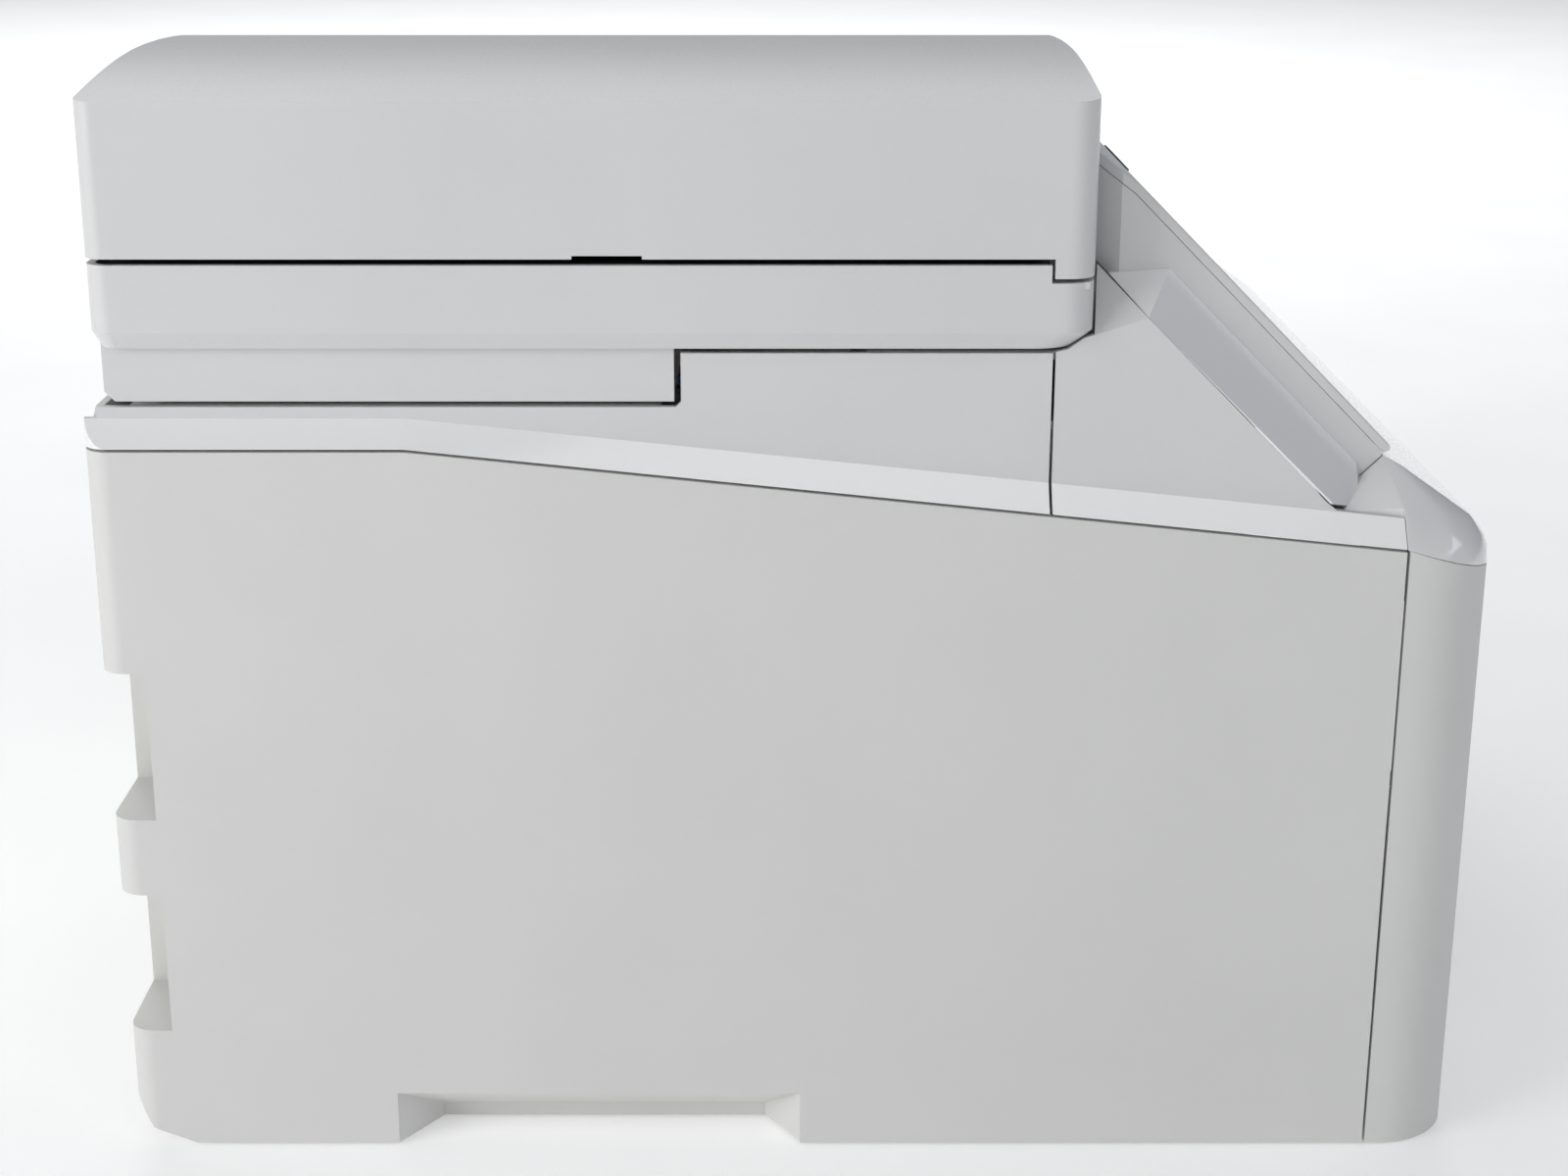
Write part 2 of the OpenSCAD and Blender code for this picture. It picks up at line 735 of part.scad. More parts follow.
module rear_door() {
    color(shell_grey) {
        difference() {
            block([-door_w / 2, rear_y - panel_wall, door_z], [door_w / 2, rear_y, door_z + door_h]);
            block([-30, rear_y - 1.5, door_z + door_h - 18], [30, far, door_z + door_h - 4]);
        }
        shaft_x(-door_w / 2 - 3, door_w / 2 + 3, door_hinge, 1);
        // Ribs that turn the sheet around the inner guide
        for (i = [-3:3]) across(i * 34 - 1, i * 34 + 1, [
            [rear_y - panel_wall + 0.5, door_z + 4],
            [rear_y - panel_wall + 0.5, drum[1] + 30],
            [drum[0] + drum_r, drum[1] + 30],
            [drum[0] + drum_r + 5, drum[1] + 18],
            [drum[0] + drum_r + 6, drum[1]],
            [drum[0] + drum_r + 5, drum[1] - 18]]);
    }
}

// Upper deck with the ink bay, the hinge ears of the scanner and the wall behind the control panel
module top_case() {
    z0 = rear_rim_z - 7.4;
    z1 = z0 + 2.5;
    x = cover_x - cover_wall - 0.4;
    ear_x = half_w - 58;
    color(shell_grey) difference() {
        union() {
            block([-x, pod_back_y + 0.5, z0], [x, rear_y - 8, z1]);
            block([-x, pod_back_y + 0.5, z1], [x, pod_back_y + 3, front_rim_z]);
            block([-x, pod_back_y + 0.5, front_rim_z - 2.5], [x, exit_y - 6, front_rim_z]);
            block([-x, exit_y - 8.5, z0], [x, exit_y - 6, front_rim_z]);
            block([-pod_x + 1, pod_back_y + 0.4, front_rim_z], [pod_x - 1, pod_back_y + 2, front_rim_z + 1.2]);
            across(-pod_x + 3 + pod_chamfer, pod_x - 3 - pod_chamfer, [
                [pod_back_y - 2.5, z0],
                [pod_back_y + 0.6, z0],
                [pod_back_y + 0.6, cheek_line + pod_back_y],
                [pod_back_y + 0.05, cheek_line + pod_back_y],
                [pod_back_y - 2.5, cheek_line + pod_back_y - 2.6]]);
            both_sides() {
                block([-ear_x, scan_pivot[0] - 5, z1], [-ear_x + 6, scan_pivot[0] + 5, scan_pivot[1]]);
                shaft_x(-ear_x, -ear_x + 6, scan_pivot, 5);
            }
        }
        block([plate_x[0] + 6, exit_y - 5, 0], [plate_x[1] - 2, rear_y - 60, far]);
        both_sides() shaft_x(-ear_x - 1, -ear_x + 7, scan_pivot, 3 + fit);
    }
}

module output_bin() {
    x = tray_w / 2 + 1;
    color(dark_plastic) {
        block([plate_x[0] + 0.1, front_y + 12, bin_z], [plate_x[1] - plate_t - 0.1, exit_y - 12, bin_z + 2.5]);
        both_sides() {
            block([-x - 3, front_y + 12, bin_z + 2.5], [-x, exit_y - 12, bin_z + 22]);
            block([-x + 18, front_y + 12, bin_z + 2.5], [-x + 24, exit_y - 12, tray_z - 0.05]);
        }
    }
}

module output_tray() {
    color(dark_plastic) difference() {
        block([-tray_w / 2, front_y + 3, tray_z], [tray_w / 2, exit_y - 16, tray_z + 4]);
        block([-28, front_y + 22, tray_z + 1.5], [28, front_y + 62, far]);
        block([-25, front_y + 2, tray_z - 1], [25, front_y + 9, far]);
        shaft_x(-32, 32, [front_y + 58, tray_z + 2.75], 1 + fit);
    }
}

module stop_flap() {
    color(dark_plastic) {
        block([-27.5, front_y + 22.6, tray_z + 2], [27.5, front_y + 58, tray_z + 3.5]);
        shaft_x(-31, 31, [front_y + 58, tray_z + 2.75], 1);
    }
}

// ---- Print engine ----

// Steel side plate with the bores of every shaft it carries
module frame_plate(x) {
    color(steel) difference() {
        across(x - plate_t, x, [
            [exit_y - 30, floor_z],
            [exit_y - 8, floor_z],
            [exit_y - 8, 26],
            [rear_y - 76, 26],
            [rear_y - 76, floor_z],
            [rear_y - 60, floor_z],
            [rear_y - 60, rail_y + 62],
            [exit_y - 30, roller_z + 38]]);
        shaft_x(x - 3, x + 3, [feed_y, roller_z], shaft_r + fit);
        shaft_x(x - 3, x + 3, [exit_y, roller_z], shaft_r + fit);
        shaft_x(x - 3, x + 3, [feed_y, pinch_z], 2 + fit);
        shaft_x(x - 3, x + 3, pick_pivot, 3 + fit);
        shaft_x(x - 3, x + 3, [rod_y, rod_z], rod_r + 0.02);
    }
}

// Left plate with the motor's hole and the idler gear's stub axle
module left_frame_plate() {
    outside = plate_x[0] - plate_t;
    axle = [idler_y, roller_z];
    color(steel) {
        difference() {
            frame_plate(plate_x[0]);
            shaft_x(outside - 1, plate_x[0] + 1, motor_yz, 3);
        }
        shaft_x(gear_x - 1.6, outside + 0.5, axle, 3);
        shaft_x(gear_x - 1.6, gear_x - 0.4, axle, 4.5);
        shaft_x(gear_x + gear_w + 0.4, outside + 0.1, axle, 4.5);
    }
}

module right_frame_plate() {
    frame_plate(plate_x[1]);
}

module carriage_rail() {
    x0 = plate_x[0] + 0.05;
    x1 = plate_x[1] - plate_t - 0.05;
    color(steel) difference() {
        union() {
            block([x0, rail_y, rod_z - 28], [x1, rail_y + 1.5, rod_z + 34]);
            block([x0, rod_y + 11, rod_z + 2], [x1, rail_y, rod_z + 3.5]);
        }
        shaft_z(rod_z, rod_z + 6, [belt_x[0], belt_y], 2.5);
        shaft_z(rod_z, rod_z + 6, [belt_x[1], belt_y], 2 + fit);
    }
}

module guide_rod() {
    color(steel) shaft_x(plate_x[0] - plate_t - 2, plate_x[1] + 2, [rod_y, rod_z], rod_r);
}

module platen() {
    color(dark_plastic) difference() {
        block([plate_x[0] + 0.1, exit_y + 10, roller_z - 2], [paper_right + 1, feed_y - 9, roller_z + 5.2]);
        for (i = [0:9]) block([paper_left + i * 22, exit_y + 14, roller_z + 3],
            [paper_left + i * 22 + 15, feed_y - 13, far]);
    }
}

// Roller with a rubber sleeve, running right through both frame plates
module driven_roller(y, r) {
    shaft_x(gear_x - 1, plate_x[1] + 3, [y, roller_z], shaft_r);
    shaft_x(paper_left, paper_right, [y, roller_z], r);
}

// Spur gear in the YZ plane; first is the angle of one tooth's centre from +Y
module gear(at, teeth, first, bore) {
    r = gear_m * teeth / 2;
    pitch = 360 / teeth;
    root = r - 1.2 * gear_m;
    tip = r + 0.85 * gear_m;
    half_tooth = 90 / teeth - 11.5 / r;
    wide = half_tooth + 34 / r;
    narrow = half_tooth - 19 / r;
    translate([gear_x, at[0], at[1]]) rotate([90, 0, 90]) linear_extrude(gear_w) difference() {
        union() {
            circle(r = root, $fn = 96);
            for (i = [0:teeth - 1]) {
                a = first + i * pitch;
                polygon([
                    (root - 0.6) * [cos(a - wide), sin(a - wide)],
                    tip * [cos(a - narrow), sin(a - narrow)],
                    tip * [cos(a + narrow), sin(a + narrow)],
                    (root - 0.6) * [cos(a + wide), sin(a + wide)]]);
            }
        }
        if (bore > 0) circle(r = bore, $fn = 48);
    }
}

module feed_roller() {
    color(inner_grey) {
        driven_roller(feed_y, feed_roller_r);
        gear([feed_y, roller_z], feed_teeth, 0, shaft_r - 0.5);
    }
}

module exit_roller() {
    color(inner_grey) {
        driven_roller(exit_y, exit_roller_r);
        gear([exit_y, roller_z], exit_teeth, 0, shaft_r - 0.5);
    }
}

module idler_gear() {
    color(gloss_white) gear([idler_y, roller_z], idler_teeth, 180 / idler_teeth, 3 + fit);
}

// Stepper motor on the inner face of the left plate
module feed_motor() {
    color(steel) {
        shaft_x(plate_x[0] + 0.05, plate_x[0] + 30, motor_yz, feed_motor_r);
        shaft_x(plate_x[0] - plate_t - 0.6, plate_x[0] + 1, motor_yz, 2.9);
    }
}

module feed_pinion() {
    color(gloss_white) {
        gear(motor_yz, pinion_teeth, 15, 0);
        shaft_x(gear_x + gear_w - 0.5, plate_x[0] - plate_t - 0.9, motor_yz, 2);
    }
}

module pinch_roller() {
    color(rubber_black) {
        shaft_x(plate_x[0] - plate_t - 1.5, plate_x[1] + 1.5, [feed_y, pinch_z], 2);
        for (i = [0:4]) shaft_x(paper_left + 5 + i * 46, paper_left + 35 + i * 46, [feed_y, pinch_z], pinch_roller_r);
    }
}

module pick_arm() {
    color(gloss_white) {
        shaft_x(plate_x[0] - plate_t - 1.5, plate_x[1] + 1.5, pick_pivot, 3);
        hull() {
            shaft_x(-9, -4, pick_pivot, 6, 32);
            shaft_x(-9, -4, pick_axle, 5, 32);
        }
        shaft_x(-5, 19, pick_axle, 2.5);
    }
}

module pick_roller() {
    color(rubber_black) difference() {
        shaft_x(-3.5, 17, pick_axle, pick_roller_r);
        shaft_x(-4, 18, pick_axle, 2.5 + fit);
    }
}

// D-shaped guide that the sheet turns around, between the frame plates
module inner_guide() {
    color(dark_plastic) {
        difference() {
            union() {
                shaft_x(paper_left, paper_right, drum, drum_r, 96);
                block([paper_left, drum[0] - 42, drum[1] - drum_r], [paper_right, drum[0], drum[1] + drum_r]);
            }
            shaft_x(paper_left + 2, paper_right - 2, drum, drum_r - 2.5, 96);
            block([paper_left + 2, drum[0] - 60, drum[1] - drum_r + 2.5],
                [paper_right - 2, drum[0], drum[1] + drum_r - 2.5]);
        }
        block([plate_x[0] + 0.1, drum[0] - 38, drum[1]], [paper_left, drum[0] - 18, drum[1] + drum_r]);
        block([paper_right, drum[0] - 38, drum[1]], [plate_x[1] - plate_t - 0.1, drum[0] - 18, drum[1] + drum_r]);
    }
}

// ---- Carriage ----

function well_x(i) = home_x + (i - 1.5) * well_pitch;

module carriage() {
    x0 = home_x - carriage_w / 2;
    x1 = home_x + carriage_w / 2;
    color(dark_plastic) difference() {
        union() {
            block([x0, exit_y + 26, roller_z + 7.8], [x1, feed_y - 10, well_z]);
            block([x0, exit_y + 26, well_z - 2.5], [x1, rod_y - 14, well_z + 40]);
            block([home_x - 14, rod_y - 15, rod_z - 9], [home_x + 14, rod_y, rod_z + 9]);
            shaft_x(home_x - 14, home_x + 14, [rod_y, rod_z], 9);
            block([home_x - 8, rod_y - 4, rod_z + 8], [home_x + 8, belt_y - 5, belt_z + 8]);
        }
        for (i = [0:3]) block([well_x(i) - cartridge_w / 2 - 0.5, exit_y + 30, well_z - 0.5],
            [well_x(i) + cartridge_w / 2 + 0.5, rod_y - 18, far]);
        shaft_x(home_x - 15, home_x + 15, [rod_y, rod_z], rod_r + fit);
        block([home_x - 9, belt_y - pulley_r - belt_t - 0.6, belt_z - 0.5],
            [home_x + 9, belt_y - pulley_r + 0.5, belt_z + 6.5]);
    }
}

module cartridge(i, tint) {
    x0 = well_x(i) - cartridge_w / 2;
    x1 = well_x(i) + cartridge_w / 2;
    y0 = exit_y + 30.5;
    y1 = rod_y - 18.5;
    color(dark_plastic) difference() {
        union() {
            block([x0, y0, well_z], [x1, y1, well_z + cartridge_h]);
            block([x0 + 3, y0 + 4, well_z + cartridge_h], [x1 - 3, y0 + 16, well_z + cartridge_h + 3]);
        }
        block([x0 + 2, y1 - 1, well_z + cartridge_h - 9], [x1 - 2, y1 + 1, well_z + cartridge_h - 3]);
    }
    color(tint) block([x0 + 2, y0 + 20, well_z + cartridge_h], [x1 - 2, y1 - 6, well_z + cartridge_h + 0.6]);
}

module black_cartridge() {
    cartridge(0, "black");
}

module cyan_cartridge() {
    cartridge(1, "deepskyblue");
}

module magenta_cartridge() {
    cartridge(2, "deeppink");
}

module yellow_cartridge() {
    cartridge(3, "gold");
}

module carriage_motor() {
    color(steel) shaft_z(rod_z - 28, rod_z + 1.95, [belt_x[0], belt_y], carriage_motor_r);
}

// Closed loop of the toothed belt around both pulleys
module carriage_belt() {
    outer = pulley_r + 0.2 + belt_t;
    inner = pulley_r + 0.2;
    color(rubber_black) translate([0, 0, belt_z]) linear_extrude(6) difference() {
        union() {
            translate([belt_x[0], belt_y - outer]) square([belt_x[1] - belt_x[0], 2 * outer]);
            for (x = belt_x) translate([x, belt_y]) circle(r = outer, $fn = 64);
        }
        translate([belt_x[0], belt_y - inner]) square([belt_x[1] - belt_x[0], 2 * inner]);
        for (x = belt_x) translate([x, belt_y]) circle(r = inner, $fn = 64);
    }
}

module pulley(x, z0, r) {
    shaft_z(belt_z - 1, belt_z + 7, [x, belt_y], pulley_r);
    shaft_z(z0, belt_z, [x, belt_y], r);
}

module motor_pulley() {
    color(steel) pulley(belt_x[0], rod_z + 2.25, 2);
}

module idler_pulley() {
    color(gloss_white) pulley(belt_x[1], rod_z + 1, 2);
}

// Tub under the parked carriage, on the bin that takes up the waste ink
module service_station() {
    x0 = home_x - 38;
    x1 = home_x + 38;
    y0 = exit_y + 24;
    y1 = pick_pivot[0] - 5;
    shelf_z = roller_z - 34;
    bin_x = [cassette_w / 2 + 5, half_w - 24];
    color(inner_grey) difference() {
        union() {
            block([x0, y0, shelf_z], [x1, y1, roller_z - 1]);
            block([x1 - 1, y0, shelf_z], [plate_x[1] - plate_t - 0.05, y1, shelf_z + 8]);
            block([bin_x[0], y0, floor_z], [bin_x[1], y1, shelf_z + 1]);
        }
        block([x0 + 3, y0 + 3, shelf_z + 8], [x1 - 3, y1 - 3, far]);
        block([bin_x[0] + 3, y0 + 3, floor_z + 3], [bin_x[1] - 3, y1 - 3, shelf_z - 3]);
        block([bin_x[0] + 20, y0 + 12, shelf_z - 4], [bin_x[0] + 30, y1 - 12, shelf_z + 9]);
    }
}

module cap_sled() {
    x0 = home_x - 34.5;
    x1 = home_x + 34.5;
    y0 = exit_y + 27.5;
    y1 = pick_pivot[0] - 8.5;
    color(rubber_black) difference() {
        union() {
            block([x0, y0, roller_z - 20], [x1, y1, roller_z - 4]);
            block([x0 + 4, y0 + 4, roller_z - 4], [x1 - 4, y1 - 4, roller_z + 7.4]);
        }
        block([x0 + 6, y0 + 6, roller_z], [x1 - 6, y1 - 6, far]);
    }
}

// ---- Cassette ----

module paper_cassette() {
    x = cassette_w / 2;
    px = front_panel_w / 2;
    z1 = cassette_z + cassette_wall_h;
    color(shell_grey) difference() {
        union() {
            difference() {
                block([-x, cassette_y0 - 3, cassette_z], [x, cassette_y1, z1]);
                block([-x + cassette_wall, cassette_y0 + 2, cassette_z + 2],
                    [x - cassette_wall, cassette_y1 - cassette_wall, far]);
                block([-x + cassette_wall, cassette_y1 - 10, z1 - 16], [x - cassette_wall, far, far]);
            }
            block([-px, front_y, foot_h + 5 + seam], [px, front_y + 8, front_panel_z]);
        }
        block([-60, front_y - 1, 24], [60, front_y + 6, 52]);
        both_sides() shaft_x(-x + 1, -x + 6, [plate_pivot_y, cassette_z + 4], 1.5 + fit);
    }
}

module width_guide(side) {
    x = side * (cassette_w / 2 - 12);
    color(dark_plastic) {
        block([x - 1.25, plate_pivot_y - 96, cassette_z + 2.3], [x + 1.25, plate_pivot_y - 12, cassette_z + 40]);
        block([min(x, x - side * 14), plate_pivot_y - 74, cassette_z + 2.3],
            [max(x, x - side * 14), plate_pivot_y - 54, cassette_z + 4.3]);
    }
}

module left_width_guide() {
    width_guide(-1);
}

module right_width_guide() {
    width_guide(1);
}

module length_guide() {
    color(dark_plastic) {
        block([-22, cassette_y0 + 9, cassette_z + 2.3], [22, cassette_y0 + 12, cassette_z + 34]);
        block([-14, cassette_y0 + 3, cassette_z + 2.3], [14, cassette_y0 + 30, cassette_z + 4.3]);
    }
}

module lift_plate() {
    x = cassette_w / 2 - cassette_wall;
    color(steel) {
        block([-x + 12, plate_pivot_y, cassette_z + 3.2], [x - 12, cassette_y1 - 8, cassette_z + 4.7]);
        shaft_x(-x - 1, x + 1, [plate_pivot_y, cassette_z + 4], 1.5);
    }
}

// ---- Electronics ----

module logic_board() {
    x = plate_x[0] + 4;
    color("darkgreen") block([x, board_y, 50], [x + 36, board_y + 1.6, 200]);
    color(steel) for (z = [58, 82]) difference() {
        block([x + 8, board_y + 1.6, z], [x + 24, rear_y - 0.5, z + 15]);
        block([x + 10, rear_y - 14, z + 2], [x + 22, far, z + 13]);
    }
}

module power_supply() {
    x = supply_x;
    color(dark_plastic) {
        difference() {
            block([x, rear_y - 62, floor_z + 0.05], [x + 38, rear_y - 21, 130]);
            for (i = [0:5]) block([x - 1, rear_y - 58, 88 + i * 6], [x + 2, rear_y - 28, 91 + i * 6]);
        }
        difference() {
            block([x + 4, rear_y - 21, 45], [x + 34, rear_y - 0.5, 71]);
            block([x + 7, rear_y - 17, 49], [x + 31, far, 67]);
        }
        for (i = [-1, 1]) block([x + 18 + i * 7, rear_y - 18, 57], [x + 20 + i * 7, rear_y - 7, 61]);
    }
}

// ---- Scanner ----

module scan_plan(inset, r) {
    plan(half_w - inset, scan_front_y + inset, scan_rear_y - inset, max(1, r - inset), max(1, r - 2 - inset));
}

// The housing body: tub at the back, flared wall above it
module scanner_form(inset) {
    x = tub_x - inset;
    across(-x, x, [
        [tub_front_y + inset, tub_z + inset],
        [tub_rear_y - 3 - inset, tub_z + inset],
        [tub_rear_y - inset, tub_z + 3 + inset],
        [tub_rear_y - inset, flare_z + 4 + inset],
        [tub_front_y + inset, flare_z + 4 + inset]]);
    hull() {
        translate([0, 0, flare_z + inset]) linear_extrude(0.1)
            plan(half_w - 4 - inset, scan_front_y + 3 + inset, scan_rear_y - 2 - inset, 14 - inset, 6);
        translate([0, 0, flare_z + 5.3 + inset * 0.4]) linear_extrude(0.1) scan_plan(inset, 9);
    }
    translate([0, 0, flare_z + 5.3]) linear_extrude(scanner_top_z - flare_z - 5.3 + inset * 10) scan_plan(inset, 9);
}

module scanner_base() {
    slot_x = half_w - 58;
    ear_x = [-30, half_w - 60];
    lip_seat = scanner_top_z - lip_drop + 0.5;
    lip_back = scan_front_y + lip_d + 1;
    color(shell_grey) {
        difference() {
            scanner_form(0);
            scanner_form(scanner_wall);
            block([-half_w - 1, front_y, lip_seat], [half_w + 1, lip_back - 0.1, far]);
            both_sides() block([-slot_x - 0.8, scan_pivot[0] - 10, 0], [-slot_x + 6.8, far, flare_z + 2]);
        }
        both_sides() {
            block([-slot_x - 6, scan_pivot[0] - 4, tub_z + 1], [-slot_x - 0.8, scan_pivot[0] + 4, flare_z + 1]);
            block([-slot_x + 6.8, scan_pivot[0] - 4, tub_z + 1], [-slot_x + 12, scan_pivot[0] + 4, flare_z + 1]);
            shaft_x(-slot_x - 2, -slot_x + 8, scan_pivot, 3);
        }
        for (x = ear_x) difference() {
            union() {
                block([x, lid_pivot[0] - 2.8, scanner_top_z - 12], [x + 6, scan_rear_y, lid_pivot[1]]);
                shaft_x(x, x + 6, lid_pivot, 2.8);
            }
            shaft_x(x - 1, x + 7, lid_pivot, 1.5 + fit);
        }
        shaft_x(-tub_x + 1, tub_x - 1, scan_rod, 3);
        // Shelf under the lid's lip
        across(-half_w + 2, half_w - 2, [
            [scan_front_y + 2, lip_seat - 2],
            [lip_back + 2.5, lip_seat - 2],
            [lip_back + 2.5, scanner_top_z - deck_t - 0.05],
            [lip_back, scanner_top_z - deck_t - 0.05],
            [lip_back, lip_seat],
            [scan_front_y + 2, lip_seat]]);
    }
}

module scanner_top() {
    color(dark_plastic) translate([0, 0, scanner_top_z - deck_t]) linear_extrude(deck_t) difference() {
        plan(half_w - scanner_wall - 0.05, scan_front_y + lip_d + 1, scan_rear_y - 6.6, 2, 4);
        translate([glass_x0 + 5, glass_y0 + 5]) square([glass_w - 10, glass_d - 10]);
        translate([bar_home_x - 6, glass_y0 + 5]) square([13, glass_d - 10]);
    }
}

module platen_glass() {
    color("lightcyan", 0.5) {
        block([glass_x0, glass_y0, scan_glass_z], [glass_x0 + glass_w, glass_y0 + glass_d, scan_glass_z + glass_t]);
        block([bar_home_x - 9, glass_y0, scan_glass_z], [bar_home_x + 10, glass_y0 + glass_d, scan_glass_z + glass_t]);
    }
}

module scan_bar() {
    x = bar_home_x;
    color(dark_plastic) difference() {
        union() {
            block([x - 9, glass_y0 + 4, scan_glass_z - 14], [x + 9, glass_y0 + glass_d - 4, scan_glass_z - 0.5]);
            block([x - 9, scan_rod[0] - 7, scan_rod[1] - 6], [x + 9, scan_rod[0] + 7, scan_glass_z - 13]);
        }
        shaft_x(x - 10, x + 10, scan_rod, 3 + fit);
    }
}

// ---- Lid and document feeder ----

module lid_base() {
    ear_x = [-30, half_w - 60];
    fx = -half_w + 9;
    arm_z = [cover_hinge[1] - 1.2, cover_hinge[1] + 1.2];
    color(shell_grey) difference() {
        union() {
            // Deck on the right of the feeder
            difference() {
                translate([0, 0, lid_z]) linear_extrude(lid_deck_z - lid_z) intersection() {
                    scan_plan(0, 8);
                    translate([feeder_x1 + 0.6, front_y]) square([body_w, body_d]);
                }
                block([feeder_x1 + 3, scan_front_y + 14, lid_z + 3], [half_w - 3, scan_rear_y - 12, lid_deck_z - 3]);
            }
            block([feeder_x1 + 0.6, scan_front_y, lid_z - lip_drop], [half_w - 8, scan_front_y + lip_d, lid_z]);
            // Feeder chassis under the cover
            block([fx, scan_front_y + 15, lid_z + 0.2], [feeder_x1 + 1, scan_rear_y - 5, lid_z + 8]);
            for (y = [glass_y0 + 40, glass_y0 + 150])
                block([fx + 60, y, lid_z + 7], [feeder_x1 - 4, y + 3, feeder_roller_z + 12]);
            shaft_y(scan_front_y + 3.2, scan_front_y + 16, cover_hinge, 1.2);
            shaft_y(scan_rear_y - 6, scan_rear_y - 3.2, cover_hinge, 1.2);
            for (y = [scan_front_y + 15, scan_rear_y - 11])
                block([cover_hinge[0], y, arm_z[0]], [fx + 1, y + 6, arm_z[1]]);
            // Ears of the feeder tray
            for (y = tray_ears)
                block([tray_hinge[0] - 4, y, lid_deck_z - 1], [tray_hinge[0] + 4, y + ear_t, tray_hinge[1] + 4]);
        }
        for (x = ear_x) block([x - 0.6, lid_pivot[0] - 5, 0], [x + 6.6, far, lid_pivot[1] + 5]);
        for (x = feeder_x) shaft_y(glass_y0, glass_y0 + 200, [x, feeder_roller_z], 3 + fit);
        for (y = tray_ears) shaft_y(y - 1, y + ear_t + 1, tray_hinge, 1.5 + fit);
    }
    color(shell_grey) for (x = ear_x) shaft_x(x - 2, x + 8, lid_pivot, 1.5);
    color(gloss_white) block([glass_x0 + 4, glass_y0 + 4, scanner_top_z + 0.4],
        [glass_x0 + glass_w - 4, glass_y0 + glass_d - 4, lid_z]);
}

// Section of the feeder cover across the machine, crowned like the real top
function dome_z(x) = feeder_wall_z + (feeder_crown_z - feeder_wall_z) * sin(90 * min(1, x / 90))
    - (x > 90 ? 2.2 * pow((x - 90) / 60, 2) : 0);
function dome_section(inset) = concat(
    [[-half_w + inset, 0], [-half_w + inset, feeder_wall_z - inset]],
    [for (x = [3, 8, 14, 20, 27, 35, 44, 54, 66, 80, 95, 115, 135]) [-half_w + max(x, inset), dome_z(x) - inset]],
    [[feeder_x1 + (inset > 0 ? 1 : 0), dome_z(feeder_w) - inset], [feeder_x1 + (inset > 0 ? 1 : 0), 0]]);

module feeder_cover() {
    w = feeder_wall;
    color(shell_grey) difference() {
        union() {
            difference() {
                intersection() {
                    along(scan_front_y - 1, scan_rear_y + 1, dome_section(0));
                    translate([0, 0, lid_z - lip_drop]) linear_extrude(far) scan_plan(0, 8);
                }
                intersection() {
                    along(scan_front_y, scan_rear_y, dome_section(w));
                    translate([0, 0, -1]) linear_extrude(far) scan_plan(w, 8);
                }
                block([-half_w - 1, scan_front_y + lip_d, 0], [0, far, lid_z]);
                // Finger notch in the seam
                block([-half_w - 1, tub_front_y + 8.6, lid_z - 1], [-half_w + w + 1, tub_front_y + 28.8, lid_z + 1]);
            }
            intersection() {
                union() {
                    shaft_y(scan_front_y + 1, scan_front_y + 5.5, cover_hinge, 3.4);
                    shaft_y(scan_rear_y - 4.8, scan_rear_y - 1, cover_hinge, 3.4);
                }
                translate([0, 0, lid_z]) linear_extrude(far) scan_plan(0.5, 8);
            }
        }
        shaft_y(scan_front_y + 2.9, scan_front_y + 6, cover_hinge, 1.2 + fit);
        shaft_y(scan_rear_y - 6, scan_rear_y - 2.9, cover_hinge, 1.2 + fit);
    }
}

module feeder_roller() {
    color(rubber_black) {
        shaft_y(glass_y0 + 36, glass_y0 + 157, [feeder_x[0], feeder_roller_z], 3);
        shaft_y(glass_y0 + 60, glass_y0 + 133, [feeder_x[0], feeder_roller_z], feeder_roller_r);
    }
}

module feeder_pick_roller() {
    color(rubber_black) {
        shaft_y(glass_y0 + 36, glass_y0 + 157, [feeder_x[1], feeder_roller_z], 3);
        shaft_y(glass_y0 + 78, glass_y0 + 115, [feeder_x[1], feeder_roller_z], feeder_roller_r + 0.5);
    }
}

module feeder_tray() {
    y0 = tray_ears[0] + ear_t + 0.6;
    y1 = tray_ears[1] - 0.6;
    z = tray_hinge[1];
    color(shell_grey) {
        difference() {
            block([tray_hinge[0] + 1, y0, z - 1.5], [half_w - 14, y1, z + 1.5]);
            block([half_w - 60, (y0 + y1) / 2 - 26, 0], [half_w, (y0 + y1) / 2 + 26, far]);
        }
        shaft_y(y0 - 4, y1 + 4, tray_hinge, 1.5);
        for (y = [y0 + 8, y1 - 10]) block([tray_hinge[0] + 24, y, z + 1.5], [tray_hinge[0] + 104, y + 2, z + 14]);
    }
}

base_pan();
rubber_feet();
left_side_panel();
right_side_panel();
left_upper_cover();
right_upper_cover();
left_cheek_cover();
right_cheek_cover();
panel_housing();
panel_bezel();
touch_screen();
power_button();
front_frame();
rear_cover();
rear_door();
top_case();
output_bin();
output_tray();
stop_flap();
left_frame_plate();
right_frame_plate();
carriage_rail();
guide_rod();
platen();
feed_roller();
exit_roller();
idler_gear();
feed_motor();
feed_pinion();
pinch_roller();
pick_arm();
pick_roller();
inner_guide();
carriage();
black_cartridge();
cyan_cartridge();
magenta_cartridge();
yellow_cartridge();
carriage_motor();
carriage_belt();
motor_pulley();
idler_pulley();
service_station();
cap_sled();
paper_cassette();
left_width_guide();
right_width_guide();
length_guide();
lift_plate();
logic_board();
power_supply();
scanner_base();
scanner_top();
platen_glass();
scan_bar();
lid_base();
feeder_cover();
feeder_roller();
feeder_pick_roller();
feeder_tray();
